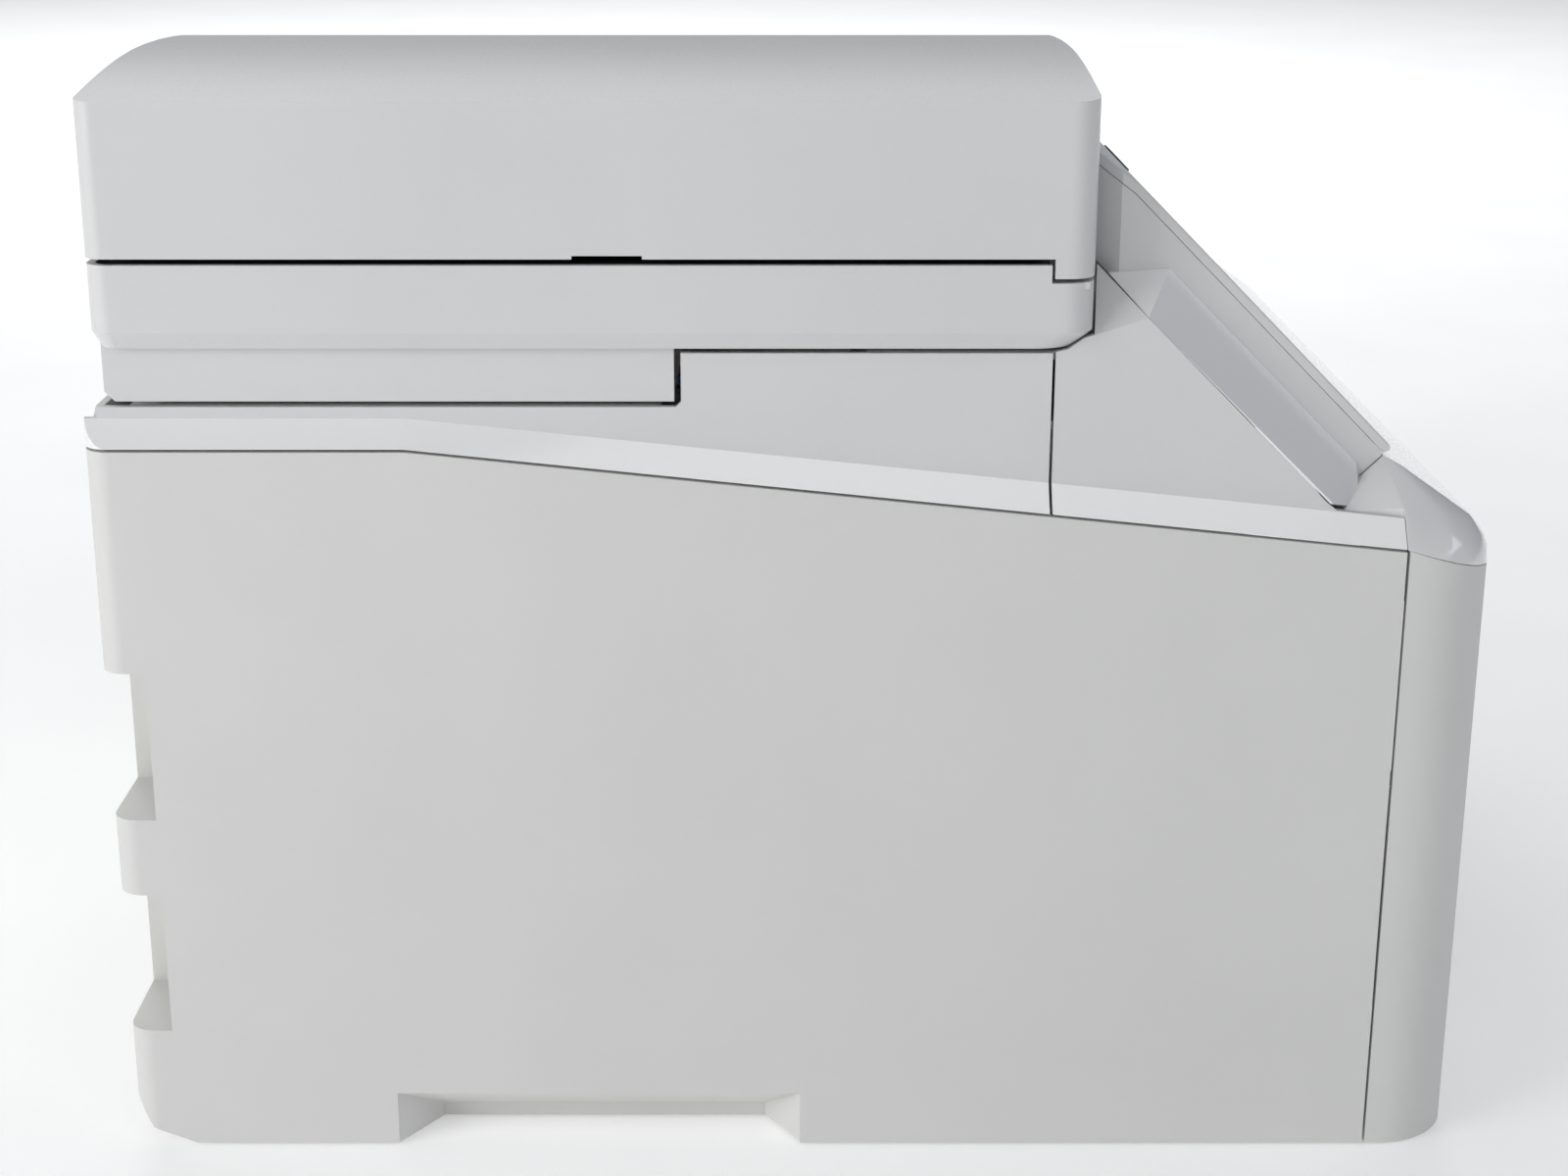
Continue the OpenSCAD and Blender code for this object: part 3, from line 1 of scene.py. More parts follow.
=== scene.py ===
import json
import math
import bmesh
import bpy
from mathutils import Matrix, Vector

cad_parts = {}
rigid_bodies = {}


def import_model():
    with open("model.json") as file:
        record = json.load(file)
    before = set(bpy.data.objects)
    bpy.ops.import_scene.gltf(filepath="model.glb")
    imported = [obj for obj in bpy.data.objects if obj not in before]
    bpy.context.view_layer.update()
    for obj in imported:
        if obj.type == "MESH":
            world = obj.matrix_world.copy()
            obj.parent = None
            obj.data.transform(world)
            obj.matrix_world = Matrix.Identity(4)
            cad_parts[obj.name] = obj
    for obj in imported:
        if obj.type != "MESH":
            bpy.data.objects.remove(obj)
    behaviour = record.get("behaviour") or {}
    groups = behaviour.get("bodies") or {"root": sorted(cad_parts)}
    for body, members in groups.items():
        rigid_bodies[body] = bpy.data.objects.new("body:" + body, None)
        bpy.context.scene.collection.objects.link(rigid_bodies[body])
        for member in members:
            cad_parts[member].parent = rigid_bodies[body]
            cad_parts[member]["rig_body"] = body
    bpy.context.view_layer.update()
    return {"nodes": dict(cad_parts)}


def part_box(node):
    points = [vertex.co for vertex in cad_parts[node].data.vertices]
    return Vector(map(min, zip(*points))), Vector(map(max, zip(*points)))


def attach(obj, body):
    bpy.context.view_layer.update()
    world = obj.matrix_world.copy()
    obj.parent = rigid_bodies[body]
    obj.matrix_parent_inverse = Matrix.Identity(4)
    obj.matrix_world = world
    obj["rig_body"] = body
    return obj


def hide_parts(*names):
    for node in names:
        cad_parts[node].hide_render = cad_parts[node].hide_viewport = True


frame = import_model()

# ---- Camera, light and floor ----
# The machine is seen square to its left flank, from a little above, with a short telephoto lens. One
# softbox stands beside its rear corner, so that the light falls off towards the front, one hangs over the
# camera for the slopes that face up, and a small one in front gives the nose its highlight.

camera = bpy.data.objects.new("camera", bpy.data.cameras.new("camera"))
bpy.context.scene.collection.objects.link(camera)
camera.location = (-0.93356, 0.0105, 0.4134)
camera.rotation_euler = (math.radians(72.6), 0, math.radians(-90))
camera.data.lens = 58.5
camera.data.sensor_width = 36
camera.data.shift_x = 0.0133
camera.data.clip_start = 0.02
camera.data.clip_end = 60
bpy.context.scene.camera = camera


def linear(hex_colour):
    """An sRGB hex colour as the linear values that shader sockets take."""
    parts = [int(hex_colour[i:i + 2], 16) / 255 for i in (1, 3, 5)]
    return tuple(c / 12.92 if c <= 0.04045 else ((c + 0.055) / 1.055) ** 2.4 for c in parts) + (1.0,)


def softbox(name, place, aim, size, watts, colour="#FFFFFF"):
    """A square area light at a place, turned towards a point."""
    lamp = bpy.data.lights.new(name, "AREA")
    lamp.size = size
    lamp.energy = watts
    lamp.color = linear(colour)[:3]
    box = bpy.data.objects.new(name, lamp)
    box.location = place
    box.rotation_euler = (Vector(aim) - Vector(place)).to_track_quat("-Z", "Y").to_euler()
    bpy.context.scene.collection.objects.link(box)


softbox("key_softbox", (-2.1, 0.95, 1.1), (0, 0, 0.15), 1.2, 3, "#FFFDFA")
softbox("flank_softbox", (-1.05, 1.4, 0.65), (0, 0, 0.15), 0.8, 11.8)
softbox("front_softbox", (-0.76, -2.56, 1.72), (-0.2, -0.15, 0.24), 0.8, 5, "#EEF4FF")
softbox("sweep_softbox", (2.7, 0.3, 2.3), (2.7, 0.1, 0), 3.0, 68)
softbox("upper_softbox", (-1.25, -0.45, 1.5), (0, 0, 0.2), 0.9, 4.2)


def add_node(material, kind, inputs=None, **settings):
    """Adds a node with its settings; an input is a value, or another node's output to link."""
    node = material.node_tree.nodes.new("ShaderNode" + kind)
    for name, value in settings.items():
        setattr(node, name, value)
    for name, value in (inputs or {}).items():
        if isinstance(value, bpy.types.NodeSocket):
            material.node_tree.links.new(value, node.inputs[name])
        else:
            node.inputs[name].default_value = value
    return node


def two_tone(material, factor, dark, light, low=0.3, high=0.7):
    """Runs a pattern through two hex colours, from a low to a high value of the pattern."""
    ramp = add_node(material, "ValToRGB", {"Fac": factor})
    ramp.color_ramp.elements[0].position = low
    ramp.color_ramp.elements[1].position = high
    ramp.color_ramp.elements[0].color = linear(dark)
    ramp.color_ramp.elements[1].color = linear(light)
    return ramp.outputs["Color"]


# The room is dimmer and cooler in front of the machine than behind it
studio = bpy.data.worlds.new("studio")
studio.use_nodes = True
heading = add_node(studio, "TexCoord").outputs["Generated"]
depth = add_node(studio, "SeparateXYZ", {"Vector": heading}).outputs["Y"]
rearward = add_node(studio, "MapRange", {"Value": depth, "From Min": -0.8, "From Max": 0.8})
room_tone = two_tone(studio, rearward.outputs["Result"], "#8A929C", "#DADBDC", 0.0, 1.0)
backdrop = studio.node_tree.nodes["Background"]
studio.node_tree.links.new(room_tone, backdrop.inputs["Color"])
backdrop.inputs["Strength"].default_value = 0.42
bpy.context.scene.world = studio
bpy.context.scene.view_settings.view_transform = "Standard"


def empty_material(name):
    """A node material with nothing in it yet."""
    material = bpy.data.materials.new(name)
    material.use_nodes = True
    material.node_tree.nodes.clear()
    return material


def finish_material(material, surface):
    """Joins the last shader to the material's output."""
    add_node(material, "OutputMaterial", {"Surface": surface}).is_active_output = True
    return material


# Painted paper sweep, with light of its own as if lit through: matt, with a mottle a hand's breadth across
paper = empty_material("paper_sweep")
coords = add_node(paper, "TexCoord").outputs["Object"]
mottle = add_node(paper, "TexNoise", {"Vector": coords, "Scale": 6.0, "Detail": 3.0})
skin = add_node(paper, "BsdfPrincipled", {
    "Base Color": two_tone(paper, mottle.outputs["Fac"], "#F0F0F0", "#F5F5F5"), "Roughness": 0.9,
    "Emission Color": (1.0, 1.0, 1.0, 1.0), "Emission Strength": 0.26})
finish_material(paper, skin.outputs["BSDF"])

bm = bmesh.new()
bmesh.ops.create_grid(bm, x_segments=2, y_segments=2, size=12)
floor_mesh = bpy.data.meshes.new("floor")
bm.to_mesh(floor_mesh)
bm.free()
floor = bpy.data.objects.new("floor", floor_mesh)
floor.data.materials.append(paper)
bpy.context.scene.collection.objects.link(floor)

# ---- Side panels, front frame and rear ----
# Injection-moulded ABS panels that hang on the chassis: two flanks with a spark-eroded texture, the
# frame round the front window, and the rear cover with its jam door. The texture is too fine to gloss.

# An edge is rounded where its faces meet at more than this angle, in degrees, and where it is longer than
# this many times the radius
corner_angle = 28
shortest_edge = 3.2


def stand_in(mesh, node, finishes):
    """Puts a mesh in a CAD node's place: its finishes and the body it rides on."""
    for finish in finishes:
        mesh.materials.append(finish)
    piece = bpy.data.objects.new(node + "_moulding", mesh)
    bpy.context.scene.collection.objects.link(piece)
    piece.modifiers.new("flat_faces", "WEIGHTED_NORMAL").keep_sharp = True
    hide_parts(node)
    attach(piece, frame["nodes"][node]["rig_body"])
    return piece


def round_edges(bm, edges, radius, steps):
    """Rounds edges to a radius, as far as the faces beside them leave room."""
    bmesh.ops.bevel(bm, geom=edges, offset=radius, offset_type="OFFSET", segments=steps, profile=0.5,
                    affect="EDGES", clamp_overlap=True, material=-1)


def shade(bm, sharp):
    """Smooth faces everywhere, with a crease where two faces meet at more than an angle in degrees."""
    for face in bm.faces:
        face.smooth = True
    for e in bm.edges:
        e.smooth = len(e.link_faces) == 2 and e.calc_face_angle(0) < math.radians(sharp)


def moulded(node, edge, finishes, choose=None, plain=None):
    """A copy of a CAD node with its triangles merged and its long edges rounded, in its place."""
    bm = bmesh.new()
    bm.from_mesh(frame["nodes"][node].data)
    bmesh.ops.remove_doubles(bm, verts=bm.verts, dist=2e-6)
    bmesh.ops.dissolve_limit(bm, angle_limit=math.radians(0.4), verts=bm.verts, edges=bm.edges)
    if edge:
        corners = [e for e in bm.edges
                   if len(e.link_faces) == 2 and e.calc_face_angle(0) > math.radians(corner_angle)
                   and e.calc_length() > shortest_edge * edge and not (plain and plain(e))]
        round_edges(bm, corners, edge, 2)
    for face in bm.faces:
        face.material_index = choose(face) if choose else 0
    shade(bm, corner_angle)
    mesh = bpy.data.meshes.new(node + "_moulding")
    bm.to_mesh(mesh)
    bm.free()
    return stand_in(mesh, node, finishes)


def abs_plastic(name, light, dark, roughness, grain_mm, grain_depth, coat=0.0):
    """Moulded ABS: a faint mottle in its colour, and the mould's grain in its gloss and relief."""
    material = empty_material(name)
    coords = add_node(material, "TexCoord").outputs["Object"]
    mottle = add_node(material, "TexNoise", {"Vector": coords, "Scale": 14.0, "Detail": 4.0})
    grain = add_node(material, "TexNoise", {"Vector": coords, "Scale": 1000 / grain_mm, "Detail": 2.0})
    gloss = add_node(material, "MapRange", {"Value": grain.outputs["Fac"], "From Min": 0.3, "From Max": 0.7,
                                            "To Min": roughness - 0.04, "To Max": roughness + 0.05})
    relief = add_node(material, "Bump", {"Height": grain.outputs["Fac"], "Strength": 0.35,
                                         "Distance": grain_depth / 1000})
    surface = add_node(material, "BsdfPrincipled", {
        "Base Color": two_tone(material, mottle.outputs["Fac"], dark, light),
        "Roughness": gloss.outputs["Result"], "Normal": relief.outputs["Normal"],
        "IOR": 1.53, "Coat Weight": coat, "Coat Roughness": 0.06})
    return finish_material(material, surface.outputs["BSDF"])


# Grain is really about 0.2 mm; it is drawn at 0.7 mm so that it shows
textured_abs = abs_plastic("textured_grey_abs", "#D9D9D7", "#D6D6D4", 0.48, 0.7, 0.05)

for node in ("left_side_panel", "right_side_panel", "front_frame", "rear_cover", "rear_door"):
    moulded(node, 0.0006, [textured_abs])

# ---- Shoulder covers and control panel ----
# Satin ABS upper covers with a polished band along the shoulder, and the polished nose below the
# control panel. Band and nose are coloured lighter than the covers, a painted highlight for the light
# on their upward slopes. They snap over the flanks and leave a dark joint under the band.

satin_abs = abs_plastic("satin_grey_abs", "#D9D9D9", "#D6D6D6", 0.31, 0.5, 0.012)
# Polished band and nose: the gloss is real, and the colour lighter than the satin is a painted highlight
polished_painted_light_abs = abs_plastic("polished_abs_painted_light", "#F0F0F0", "#EEEEEE", 0.15, 0.9, 0.003, coat=0.5)
# Planes that part the satin from the polish and its painted highlight, in metres: distances from the middle,
# and places along Y
band_x = 0.2042
pod_side = 0.1883
nose_start = -0.1766
nose_back = -0.1803
nose_side = 0.2013


def on_band(face):
    return 1 if abs(face.calc_center_median().x) > band_x else 0


def on_nose(face):
    middle = face.calc_center_median()
    return 1 if middle.y < nose_start or abs(middle.x) > pod_side else 0


def tight_joint(edge):
    """The edges where nose and cheek cover meet, which are pressed together without a gap."""
    near = 0.0004
    return all((abs(v.co.y - nose_back) < near or abs(abs(v.co.x) - nose_side) < near)
               and v.co.y < -0.156 and abs(v.co.x) > 0.2 for v in edge.verts)


# Band and nose faces take the polished finish with its painted highlight
for side in ("left", "right"):
    moulded(side + "_upper_cover", 0.0006, [satin_abs, polished_painted_light_abs], on_band)
    moulded(side + "_cheek_cover", 0.0006, [satin_abs, polished_painted_light_abs], on_band, tight_joint)
moulded("panel_housing", 0.0008, [satin_abs, polished_painted_light_abs], on_nose, tight_joint)
moulded("panel_bezel", 0.0006, [satin_abs])

# ---- Touch screen and power button ----
# The touch screen is a sheet of black cover glass, bonded flush into the bezel over the display. The
# round button beside it is black ABS with a printed standby mark, and presses on a switch behind.

slope = math.sqrt(0.5)
screen_centre = (0.0, -0.13905, 0.26185)
display_half = (0.0695, 0.0365)


def arithmetic(material, operation, first, second=0.0):
    """One step of arithmetic on one value or between two."""
    return add_node(material, "Math", {0: first, 1: second}, operation=operation).outputs["Value"]


# The display is the rectangle where the glass is a shade lighter than its printed border
cover_glass = empty_material("black_cover_glass")
coords = add_node(cover_glass, "TexCoord").outputs["Object"]
centred = add_node(cover_glass, "VectorMath", {0: coords, 1: screen_centre}, operation="SUBTRACT")
across = add_node(cover_glass, "SeparateXYZ", {"Vector": centred.outputs["Vector"]}).outputs["X"]
upwards = add_node(cover_glass, "VectorMath", {0: centred.outputs["Vector"], 1: (0.0, slope, slope)},
                   operation="DOT_PRODUCT")
in_width = arithmetic(cover_glass, "LESS_THAN", arithmetic(cover_glass, "ABSOLUTE", across), display_half[0])
in_height = arithmetic(cover_glass, "LESS_THAN",
                   arithmetic(cover_glass, "ABSOLUTE", upwards.outputs["Value"]), display_half[1])
display = arithmetic(cover_glass, "MULTIPLY", in_width, in_height)
# Wiped glass is never quite even: a faint haze a few millimetres across shows in its gloss
haze = add_node(cover_glass, "TexNoise", {"Vector": coords, "Scale": 1000 / 9, "Detail": 4.0})
wiped = add_node(cover_glass, "MapRange", {"Value": haze.outputs["Fac"], "To Min": 0.03, "To Max": 0.11})
skin = add_node(cover_glass, "BsdfPrincipled", {
    "Base Color": two_tone(cover_glass, display, "#08090A", "#16181C", 0.0, 1.0),
    "Roughness": wiped.outputs["Result"], "IOR": 1.51, "Coat Weight": 1.0, "Coat Roughness": 0.02})
finish_material(cover_glass, skin.outputs["BSDF"])
moulded("touch_screen", 0.0004, [cover_glass])

black_abs = abs_plastic("black_abs", "#26272A", "#212225", 0.5, 0.5, 0.02)
moulded("power_button", 0.0003, [black_abs])


def box_at(bm, place, size):
    """Adds a box of a size, centred on a place, and gives its corners."""
    spread = Matrix.Translation(place) @ Matrix.Diagonal((*size, 1))
    return bmesh.ops.create_cube(bm, size=1, matrix=spread)["verts"]


def finished(bm, name, finish, body):
    """Makes a new piece of a bmesh, with its faces outwards, its finish and the body it rides on."""
    bmesh.ops.recalc_face_normals(bm, faces=bm.faces)
    shade(bm, 30)
    mesh = bpy.data.meshes.new(name)
    bm.to_mesh(mesh)
    bm.free()
    mesh.materials.append(finish)
    piece = bpy.data.objects.new(name, mesh)
    bpy.context.scene.collection.objects.link(piece)
    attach(piece, body)
    return piece


# Tampo print: a thin ink film, a little rough. The mark is a broken ring with an upright in its gap.
white_print = abs_plastic("white_tampo_print", "#D9DBDD", "#CDD0D3", 0.6, 0.3, 0.004)
ring_r = 0.0034
stroke = 0.0007
film = 0.00005
bm = bmesh.new()
stroke_end = (Matrix.Translation((0, ring_r, 0)) @ Matrix.Rotation(math.radians(90), 4, "Y")
              @ Matrix.Diagonal((film / stroke, 1, 1, 1)))
bmesh.ops.create_grid(bm, x_segments=1, y_segments=1, size=stroke / 2, matrix=stroke_end)
bmesh.ops.spin(bm, geom=bm.verts[:] + bm.edges[:] + bm.faces[:], cent=(0, 0, 0), axis=(0, 0, 1),
               angle=math.radians(290), steps=40, use_merge=False)
bmesh.ops.rotate(bm, verts=bm.verts, cent=(0, 0, 0), matrix=Matrix.Rotation(math.radians(35), 3, "Z"))
box_at(bm, (0, 0.0032, 0), (stroke, 0.0034, film))
# The button's face slopes at 45 degrees, and its middle lies a radius below its highest point
button_r = 0.0075
button_low, button_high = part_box("power_button")
face_centre = ((button_low[0] + button_high[0]) / 2, button_low[1] + button_r * slope,
               button_high[2] - button_r * slope)
to_face = Matrix.Translation(face_centre) @ Matrix.Rotation(math.radians(45), 4, "X")
bmesh.ops.transform(bm, matrix=to_face, verts=bm.verts)
finished(bm, "standby_mark", white_print, "power_button")

# ---- Scanner, lid and document feeder ----
# Satin ABS mouldings: the tub with its flared wall, the lid and the crowned cover over the feeder. The
# tub holds the float glass in a black deck. A white foam pad under the lid presses the page flat.

inner_grey = abs_plastic("mid_grey_abs", "#7C7E82", "#75777B", 0.52, 0.5, 0.03)

# Cast polyether foam under a white film: soft, matt, with open cells of about half a millimetre
foam = empty_material("white_foam_film")
coords = add_node(foam, "TexCoord").outputs["Object"]
cells = add_node(foam, "TexVoronoi", {"Vector": coords, "Scale": 1000 / 0.8})
dimples = add_node(foam, "Bump", {"Height": cells.outputs["Distance"], "Strength": 0.3, "Distance": 0.0001})
skin = add_node(foam, "BsdfPrincipled", {
    "Base Color": two_tone(foam, cells.outputs["Distance"], "#ECECEA", "#F4F4F2", 0.0, 0.6),
    "Roughness": 0.8, "Normal": dimples.outputs["Normal"]})
finish_material(foam, skin.outputs["BSDF"])

# Float glass: clear with the faint green of its iron
float_glass = empty_material("float_glass")
coords = add_node(float_glass, "TexCoord").outputs["Object"]
smear = add_node(float_glass, "TexNoise", {"Vector": coords, "Scale": 1000 / 14, "Detail": 3.0})
clean = add_node(float_glass, "MapRange", {"Value": smear.outputs["Fac"], "To Min": 0.0, "To Max": 0.05})
skin = add_node(float_glass, "BsdfPrincipled", {
    "Base Color": two_tone(float_glass, smear.outputs["Fac"], "#E6F1EC", "#EDF5F1"),
    "Roughness": clean.outputs["Result"], "IOR": 1.52, "Transmission Weight": 1.0})
finish_material(float_glass, skin.outputs["BSDF"])


def on_pad_or_chassis(face):
    """The foam pad below the lid is 1, the feeder's own frame under its cover is 2."""
    x, y, z = face.calc_center_median()
    lid_underside = 0.2852
    feeder_side = -0.0588
    if z < lid_underside and -0.134 < x < 0.194 and -0.0445 < y < 0.173:
        return 1
    return 2 if x < feeder_side else 0


moulded("scanner_base", 0.0009, [satin_abs])
moulded("feeder_cover", 0.0012, [satin_abs])
moulded("lid_base", 0.0008, [satin_abs, foam, inner_grey], on_pad_or_chassis)
moulded("feeder_tray", 0.0006, [satin_abs])
moulded("scanner_top", 0.0003, [black_abs])
moulded("platen_glass", 0.0003, [float_glass])
moulded("scan_bar", 0.0005, [black_abs])

# Light guide of the scan bar: a clear acrylic rod with a frosted underside, glued along the bar
light_guide = empty_material("frosted_acrylic")
coords = add_node(light_guide, "TexCoord").outputs["Object"]
frost = add_node(light_guide, "TexNoise", {"Vector": coords, "Scale": 1000 / 0.6, "Detail": 2.0})
frosted = add_node(light_guide, "MapRange", {"Value": frost.outputs["Fac"], "To Min": 0.25, "To Max": 0.5})
skin = add_node(light_guide, "BsdfPrincipled", {
    "Base Color": two_tone(light_guide, frost.outputs["Fac"], "#E9ECEE", "#F6F8F9"),
    "Roughness": frosted.outputs["Result"], "IOR": 1.49, "Subsurface Weight": 0.2})
finish_material(light_guide, skin.outputs["BSDF"])
bar_low, bar_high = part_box("scan_bar")
bm = bmesh.new()
box_at(bm, ((bar_low[0] + bar_high[0]) / 2 - 0.003, (bar_low[1] + bar_high[1]) / 2, bar_high[2] + 0.0001),
       (0.0026, bar_high[1] - bar_low[1] - 0.006, 0.0004))
round_edges(bm, bm.edges[:], 0.00012, 2)
finished(bm, "scan_light_guide", light_guide, "scan_bar")

# ---- Base pan, feet and top case ----
# Grey structural ABS pan that everything stands on, with four moulded rubber feet under it, and the
# light grey upper deck that carries the scanner's hinges and leaves the ink bay open.

# Moulded rubber: matt, with a bloom that greys it unevenly
rubber = empty_material("moulded_rubber")
coords = add_node(rubber, "TexCoord").outputs["Object"]
bloom = add_node(rubber, "TexNoise", {"Vector": coords, "Scale": 1000 / 12, "Detail": 5.0})
grit = add_node(rubber, "TexNoise", {"Vector": coords, "Scale": 1000 / 0.5, "Detail": 2.0})
matt = add_node(rubber, "MapRange", {"Value": bloom.outputs["Fac"], "To Min": 0.68, "To Max": 0.85})
relief = add_node(rubber, "Bump", {"Height": grit.outputs["Fac"], "Strength": 0.4, "Distance": 0.00004})
skin = add_node(rubber, "BsdfPrincipled", {
    "Base Color": two_tone(rubber, bloom.outputs["Fac"], "#1B1B1C", "#2A2A2B"),
    "Roughness": matt.outputs["Result"], "Normal": relief.outputs["Normal"], "IOR": 1.52})
finish_material(rubber, skin.outputs["BSDF"])

moulded("base_pan", 0.0005, [inner_grey])
moulded("rubber_feet", 0.0, [rubber])
moulded("top_case", 0.0006, [satin_abs])

# ---- Output bin, tray and paper stop ----
# Black ABS with a coarse grain that hides scratches from the paper. The tray slides in the bin and the
# stop turns up at its end.

grained_abs = abs_plastic("grained_black_abs", "#2B2C2F", "#242528", 0.58, 0.9, 0.06)
for node in ("output_bin", "output_tray", "stop_flap"):
    moulded(node, 0.0004, [grained_abs])

# ---- Frame plates, rail and motors ----
# Punched and folded from zinc-plated steel sheet, which shows the grain of its rolling and a cloudy
# spangle. The carriage runs on a ground steel rod. The motors are drawn steel cans.


def steel_finish(name, light, dark, smooth, rough, cloud_mm, grain_mm, grain_axis):
    """Bare or plated steel: a cloudy tone, and fine scratches drawn out along one axis."""
    material = empty_material(name)
    coords = add_node(material, "TexCoord").outputs["Object"]
    cloud = add_node(material, "TexNoise", {"Vector": coords, "Scale": 1000 / cloud_mm, "Detail": 5.0})
    stretch = [1.0, 1.0, 1.0]
    stretch[grain_axis] = 0.03
    drawn = add_node(material, "Mapping", {"Vector": coords, "Scale": stretch})
    scratches = add_node(material, "TexNoise", {"Vector": drawn.outputs["Vector"], "Scale": 1000 / grain_mm,
                                                "Detail": 3.0})
    gloss = add_node(material, "MapRange", {"Value": scratches.outputs["Fac"], "From Min": 0.3,
                                            "From Max": 0.7, "To Min": smooth, "To Max": rough})
    relief = add_node(material, "Bump", {"Height": scratches.outputs["Fac"], "Strength": 0.25,
                                         "Distance": 0.00002})
    surface = add_node(material, "BsdfPrincipled", {
        "Base Color": two_tone(material, cloud.outputs["Fac"], dark, light), "Metallic": 1.0,
        "Roughness": gloss.outputs["Result"], "Normal": relief.outputs["Normal"]})
    return finish_material(material, surface.outputs["BSDF"])


# Rolling marks are really about 0.05 mm apart; they are drawn at 0.6 mm so that they show
zinc_sheet = steel_finish("zinc_plated_sheet", "#CDD1D6", "#B4B9BF", 0.28, 0.42, 7, 0.6, 1)
ground_bar = steel_finish("ground_steel_bar", "#D6D9DC", "#C6C9CD", 0.12, 0.2, 20, 0.4, 0)
drawn_can = steel_finish("drawn_steel_can", "#C2C5C9", "#AEB1B6", 0.25, 0.36, 10, 0.5, 2)

for node in ("left_frame_plate", "right_frame_plate", "carriage_rail", "lift_plate"):
    moulded(node, 0.0002, [zinc_sheet])
moulded("guide_rod", 0.0, [ground_bar])
moulded("feed_motor", 0.0004, [drawn_can])
moulded("carriage_motor", 0.0004, [drawn_can])
moulded("motor_pulley", 0.0, [ground_bar])

# ---- Rollers and gears ----
# Steel shafts with ground rubber sleeves, driven through natural acetal spur gears outside the left
# plate. Acetal is waxy and slightly translucent, and its gears come from the mould with no grain.

acetal = empty_material("natural_acetal")
coords = add_node(acetal, "TexCoord").outputs["Object"]
flow = add_node(acetal, "TexNoise", {"Vector": coords, "Scale": 1000 / 11, "Detail": 3.0})
waxy = add_node(acetal, "MapRange", {"Value": flow.outputs["Fac"], "To Min": 0.26, "To Max": 0.38})
skin = add_node(acetal, "BsdfPrincipled", {
    "Base Color": two_tone(acetal, flow.outputs["Fac"], "#E4E3DA", "#EEEDE6"),
    "Roughness": waxy.outputs["Result"], "IOR": 1.48, "Subsurface Weight": 0.12,
    "Subsurface Radius": (0.002, 0.002, 0.0016)})
finish_material(acetal, skin.outputs["BSDF"])

# A wave texture at a scale of 0.314 repeats once in a metre
bands_per_metre = 0.314
# Sleeve rubber is ground round, which leaves fine rings about 0.3 mm apart, drawn at 0.8 mm to show
sleeve = empty_material("ground_rubber_sleeve")
coords = add_node(sleeve, "TexCoord").outputs["Object"]
rings = add_node(sleeve, "TexWave", {"Vector": coords, "Scale": bands_per_metre / 0.0008, "Distortion": 1.5,
                                     "Detail": 1.0}, wave_type="BANDS", bands_direction="X")
wear = add_node(sleeve, "TexNoise", {"Vector": coords, "Scale": 1000 / 15, "Detail": 4.0})
matt = add_node(sleeve, "MapRange", {"Value": wear.outputs["Fac"], "To Min": 0.6, "To Max": 0.8})
relief = add_node(sleeve, "Bump", {"Height": rings.outputs["Fac"], "Strength": 0.3, "Distance": 0.00003})
skin = add_node(sleeve, "BsdfPrincipled", {
    "Base Color": two_tone(sleeve, wear.outputs["Fac"], "#323438", "#45474B"),
    "Roughness": matt.outputs["Result"], "Normal": relief.outputs["Normal"], "IOR": 1.52})
finish_material(sleeve, skin.outputs["BSDF"])


def outside_shaft(first, second, centre, shaft_r):
    """Tells a shaft, 0, from what is fixed round it, 1, by the distance from its axis on two axes."""
    def choose(face):
        reach = max(math.hypot(v.co[first] - centre[0], v.co[second] - centre[1]) for v in face.verts)
        return 1 if reach > shaft_r else 0
    return choose


def driven_part(face):
    """A driven roller's gear is 2, its sleeve 1 and the rest of its shaft 0."""
    x = face.calc_center_median().x
    gear_side = -0.1745
    gear_face = -0.1813
    if x < gear_side and (face.calc_area() > 1e-5 or x > gear_face):
        return 2
    return 1 if -0.1302 < x < 0.1052 else 0


for node in ("feed_roller", "exit_roller"):
    moulded(node, 0.0, [ground_bar, sleeve, acetal], driven_part)
for node in ("idler_gear", "feed_pinion", "idler_pulley"):
    moulded(node, 0.0, [acetal])
moulded("pinch_roller", 0.0, [ground_bar, sleeve], outside_shaft(1, 2, (0.072, 0.109), 0.0024))
moulded("pick_roller", 0.0, [sleeve])


def on_arm(face):
    return 1 if -0.0095 < face.calc_center_median().x < 0.0195 else 0


moulded("pick_arm", 0.0003, [ground_bar, acetal], on_arm)
moulded("feeder_roller", 0.0, [ground_bar, rubber], outside_shaft(0, 2, (-0.110, 0.310), 0.0034))
moulded("feeder_pick_roller", 0.0, [ground_bar, rubber], outside_shaft(0, 2, (-0.080, 0.310), 0.0034))

# ---- Paper guide and platen ----
# Glass-filled black ABS, smooth where the sheet rubs: the ribbed platen under the heads, and the drum
# behind it that turns the sheet up from the cassette.

smooth_black = abs_plastic("polished_black_abs", "#222326", "#1E1F22", 0.3, 1.2, 0.006)
moulded("platen", 0.0003, [smooth_black])
moulded("inner_guide", 0.0004, [smooth_black])

# ---- Carriage, cartridges and belt ----
# Black moulded carriage with four ink cartridges side by side, each with a coloured plate on top. A
# toothed rubber belt pulls it along the rod.



def on_plate(face):
    middle = face.calc_center_median()
    return 1 if middle.z > 0.1702 and middle.y > 0.0362 else 0


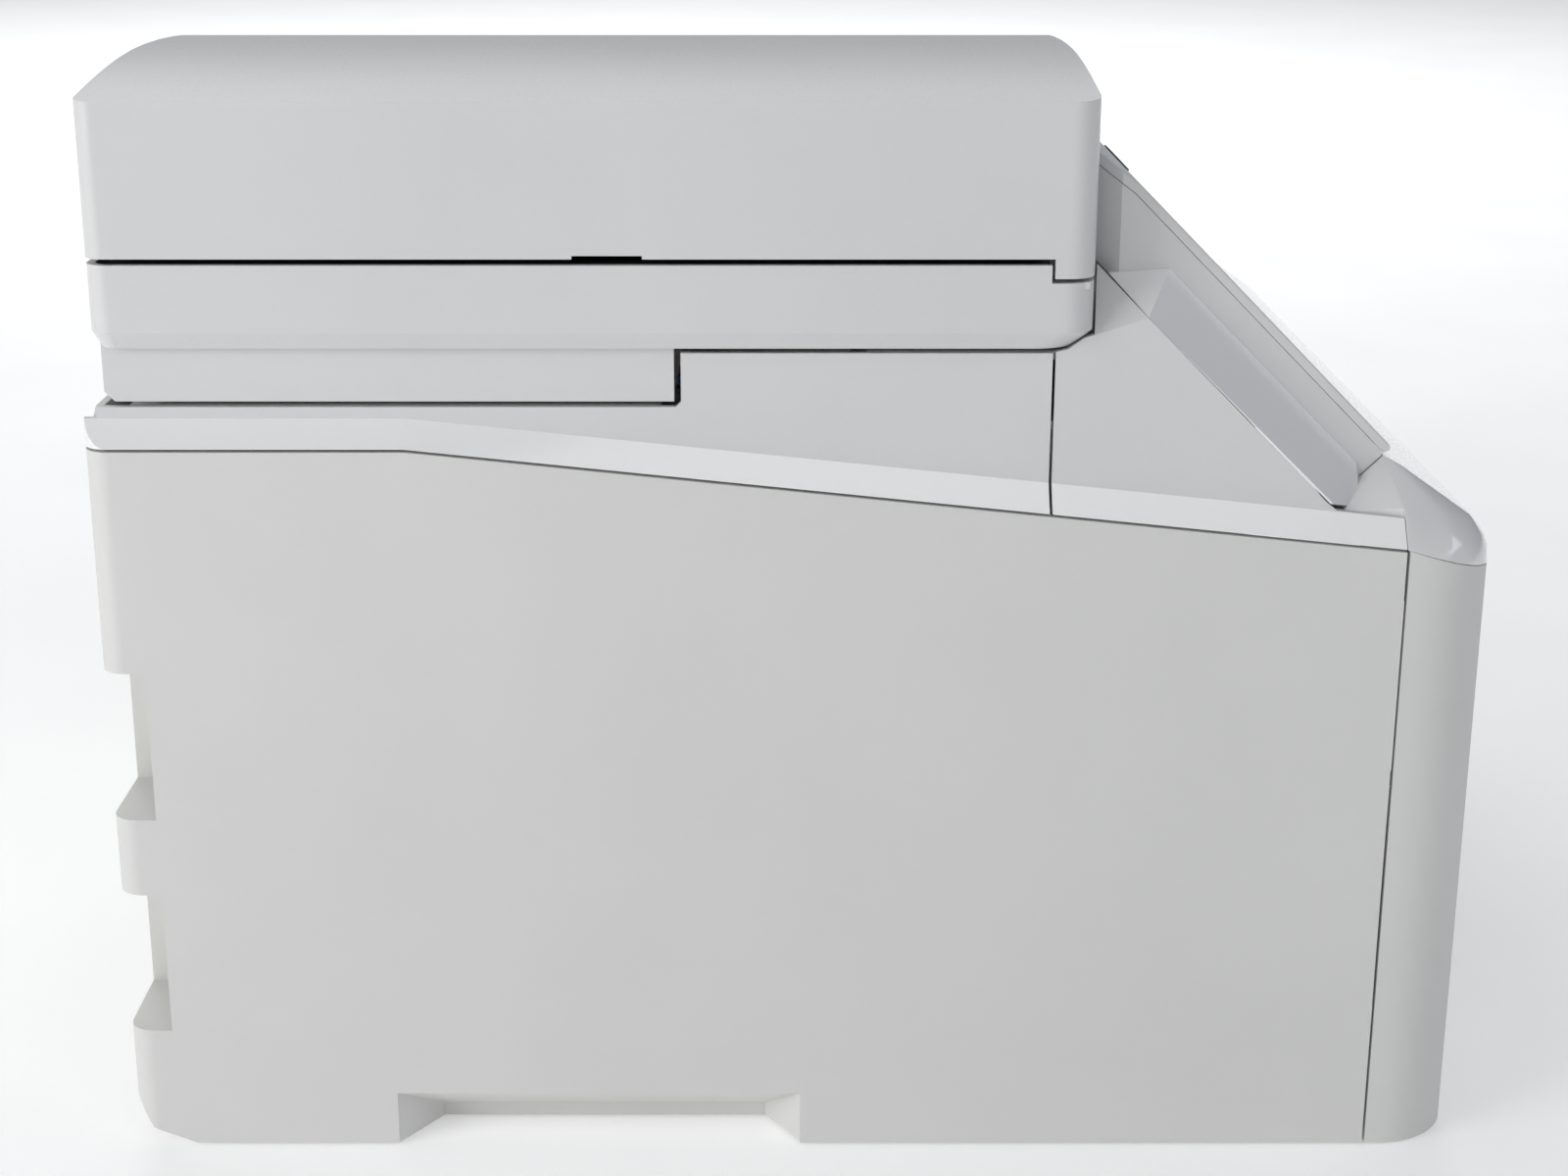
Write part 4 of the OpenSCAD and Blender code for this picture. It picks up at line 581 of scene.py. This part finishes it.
moulded("carriage", 0.0004, [black_abs])
cartridge_shell = abs_plastic("cartridge_shell", "#2F3034", "#292A2E", 0.36, 0.8, 0.008)
for colour, light, dark in (("black", "#3C3D40", "#37383B"), ("cyan", "#1F9AD6", "#1A90CB"),
                            ("magenta", "#D4308A", "#C92A80"), ("yellow", "#F0CB1E", "#E6C018")):
    cap = abs_plastic(colour + "_cartridge_plate", light, dark, 0.3, 0.8, 0.005)
    moulded(colour + "_cartridge", 0.0004, [cartridge_shell, cap], on_plate)

# Belt teeth stand 2 mm apart, as on the real belt
belt = empty_material("toothed_belt_rubber")
coords = add_node(belt, "TexCoord").outputs["Object"]
teeth = add_node(belt, "TexWave", {"Vector": coords, "Scale": bands_per_metre / 0.002},
                 wave_type="BANDS", bands_direction="X")
dust = add_node(belt, "TexNoise", {"Vector": coords, "Scale": 1000 / 4, "Detail": 3.0})
relief = add_node(belt, "Bump", {"Height": teeth.outputs["Fac"], "Strength": 0.8, "Distance": 0.0004})
skin = add_node(belt, "BsdfPrincipled", {
    "Base Color": two_tone(belt, dust.outputs["Fac"], "#161617", "#232324"), "Roughness": 0.7,
    "Normal": relief.outputs["Normal"], "IOR": 1.52})
finish_material(belt, skin.outputs["BSDF"])
moulded("carriage_belt", 0.0, [belt])

# ---- Service station ----
# Grey ABS tub under the parked carriage with the bin for waste ink, and the sprung sled whose soft
# rubber lip seals the heads.


def on_lip(face):
    return 1 if face.calc_center_median().z > 0.0941 else 0


moulded("service_station", 0.0005, [inner_grey])
moulded("cap_sled", 0.0004, [inner_grey, rubber], on_lip)

# ---- Paper cassette ----
# The front is moulded like the flanks and the tray behind it is mid grey. Black guides slide in its
# floor, and a plated plate lifts the paper, with a cork pad where the pick roller presses.


def behind_front(face):
    return 1 if face.calc_center_median().y > -0.2022 else 0


moulded("paper_cassette", 0.0007, [textured_abs, inner_grey], behind_front)
for node in ("left_width_guide", "right_width_guide", "length_guide"):
    moulded(node, 0.0003, [black_abs])

# Cork granules bound in rubber, about 1 mm across
cork = empty_material("bound_cork")
coords = add_node(cork, "TexCoord").outputs["Object"]
granules = add_node(cork, "TexVoronoi", {"Vector": coords, "Scale": 1000 / 1.2})
relief = add_node(cork, "Bump", {"Height": granules.outputs["Distance"], "Strength": 0.5, "Distance": 0.0001})
skin = add_node(cork, "BsdfPrincipled", {
    "Base Color": two_tone(cork, granules.outputs["Distance"], "#B98A5A", "#7F5A38", 0.1, 0.7),
    "Roughness": 0.88, "Normal": relief.outputs["Normal"]})
finish_material(cork, skin.outputs["BSDF"])
pad_t = 0.001
bm = bmesh.new()
box_at(bm, (0.0068, 0.0945, 0.0141), (0.036, 0.022, pad_t))
uprights = [e for e in bm.edges if abs(e.verts[0].co.z - e.verts[1].co.z) > pad_t / 2]
round_edges(bm, uprights, 0.003, 4)
finished(bm, "cork_pad", cork, "lift_plate")

# ---- Electronics ----
# A fibreglass board with green solder mask stands behind the left rear corner, with shielded sockets,
# and a black steel-lined power supply with its mains inlet stands at the right.

solder_mask = empty_material("green_solder_mask")
coords = add_node(solder_mask, "TexCoord").outputs["Object"]
upright = add_node(solder_mask, "Mapping", {"Vector": coords, "Rotation": (math.radians(90), 0, 0)})
tracks = add_node(solder_mask, "TexBrick", {
    "Vector": upright.outputs["Vector"], "Scale": 1000 / 4, "Mortar Size": 0.06, "Brick Width": 1.3,
    "Row Height": 0.5, "Color1": linear("#1C6B3C"), "Color2": linear("#23774A"), "Mortar": linear("#2E8A58")})
relief = add_node(solder_mask, "Bump", {"Height": tracks.outputs["Fac"], "Strength": 0.3,
                                        "Distance": 0.00003})
skin = add_node(solder_mask, "BsdfPrincipled", {
    "Base Color": tracks.outputs["Color"], "Roughness": 0.32, "Normal": relief.outputs["Normal"],
    "IOR": 1.5, "Coat Weight": 0.3, "Coat Roughness": 0.15})
finish_material(solder_mask, skin.outputs["BSDF"])


def on_socket(face):
    return 1 if face.calc_center_median().y > 0.1882 else 0


def on_pin(face):
    middle = face.calc_center_median()
    in_inlet = 0.0568 < middle.z < 0.0612 and abs(middle.x - 0.145) < 0.0085
    return 1 if middle.y > 0.194 and in_inlet else 0


moulded("logic_board", 0.0, [solder_mask, zinc_sheet], on_socket)
moulded("power_supply", 0.0005, [black_abs, ground_bar], on_pin)

# Chip packages and cable connectors on the inner face of the board, sunk a little into it. Each row gives
# a package's place on the board, its width and height, and how far it stands proud.
epoxy = abs_plastic("epoxy_package", "#232427", "#1D1E20", 0.6, 0.4, 0.01)
nylon = abs_plastic("cream_nylon", "#E3DFCF", "#D8D3C0", 0.45, 0.6, 0.01)
board_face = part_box("logic_board")[0][1]
sunk = 0.0001
chips = ((-0.150, 0.160, 0.022, 0.022, 0.0022), (-0.152, 0.108, 0.014, 0.011, 0.0018),
         (-0.152, 0.140, 0.012, 0.008, 0.0016), (-0.141, 0.178, 0.008, 0.006, 0.0015))
connectors = ((-0.150, 0.184, 0.020, 0.005, 0.006), (-0.1655, 0.150, 0.004, 0.024, 0.006),
              (-0.1655, 0.112, 0.004, 0.018, 0.006))
for name, finish, parts in (("board_chips", epoxy, chips), ("board_connectors", nylon, connectors)):
    bm = bmesh.new()
    for x, z, width, height, proud in parts:
        corners = box_at(bm, (x, board_face - proud / 2 + sunk, z), (width, proud, height))
        top = [f for f in bm.faces if f.verts[0] in corners
               and abs(f.calc_center_median().y - (board_face - proud + sunk)) < 1e-6]
        bmesh.ops.inset_individual(bm, faces=top, thickness=0.0006, depth=-0.0002)
    round_edges(bm, bm.edges[:], 0.00012, 1)
    finished(bm, name, finish, "chassis")


def disc(bm, x, z, radius, thickness, segments):
    """Adds a disc that lies flat on the inner face of the board."""
    place = Matrix.Translation((x, board_face - thickness / 2, z)) @ Matrix.Rotation(math.radians(90), 4, "X")
    bmesh.ops.create_cone(bm, cap_ends=True, segments=segments, radius1=radius, radius2=radius,
                          depth=thickness, matrix=place)


# Can capacitors
bm = bmesh.new()
for x, z, radius, tall in ((-0.139, 0.118, 0.004, 0.011), (-0.139, 0.105, 0.0032, 0.009),
                           (-0.139, 0.092, 0.004, 0.011)):
    disc(bm, x, z, radius, tall, 32)
round_edges(bm, [e for e in bm.edges if e.calc_face_angle(0) > 1], 0.0005, 3)
finished(bm, "board_capacitors", drawn_can, "chassis")

# Pan-head screws that hold the board to its bosses
bm = bmesh.new()
for x in (-0.162, -0.138):
    for z in (0.128, 0.192):
        disc(bm, x, z, 0.0027, 0.0016, 24)
outer = [f for f in bm.faces if f.normal.y < -0.9]
round_edges(bm, [e for f in outer for e in f.edges], 0.0006, 3)
caps = [f for f in bm.faces if f.normal.y < -0.9 and len(f.verts) > 12]
bmesh.ops.inset_individual(bm, faces=caps, thickness=0.0008, depth=0.0)
bmesh.ops.inset_individual(bm, faces=caps, thickness=0.0002, depth=-0.0009)
finished(bm, "board_screws", zinc_sheet, "chassis")
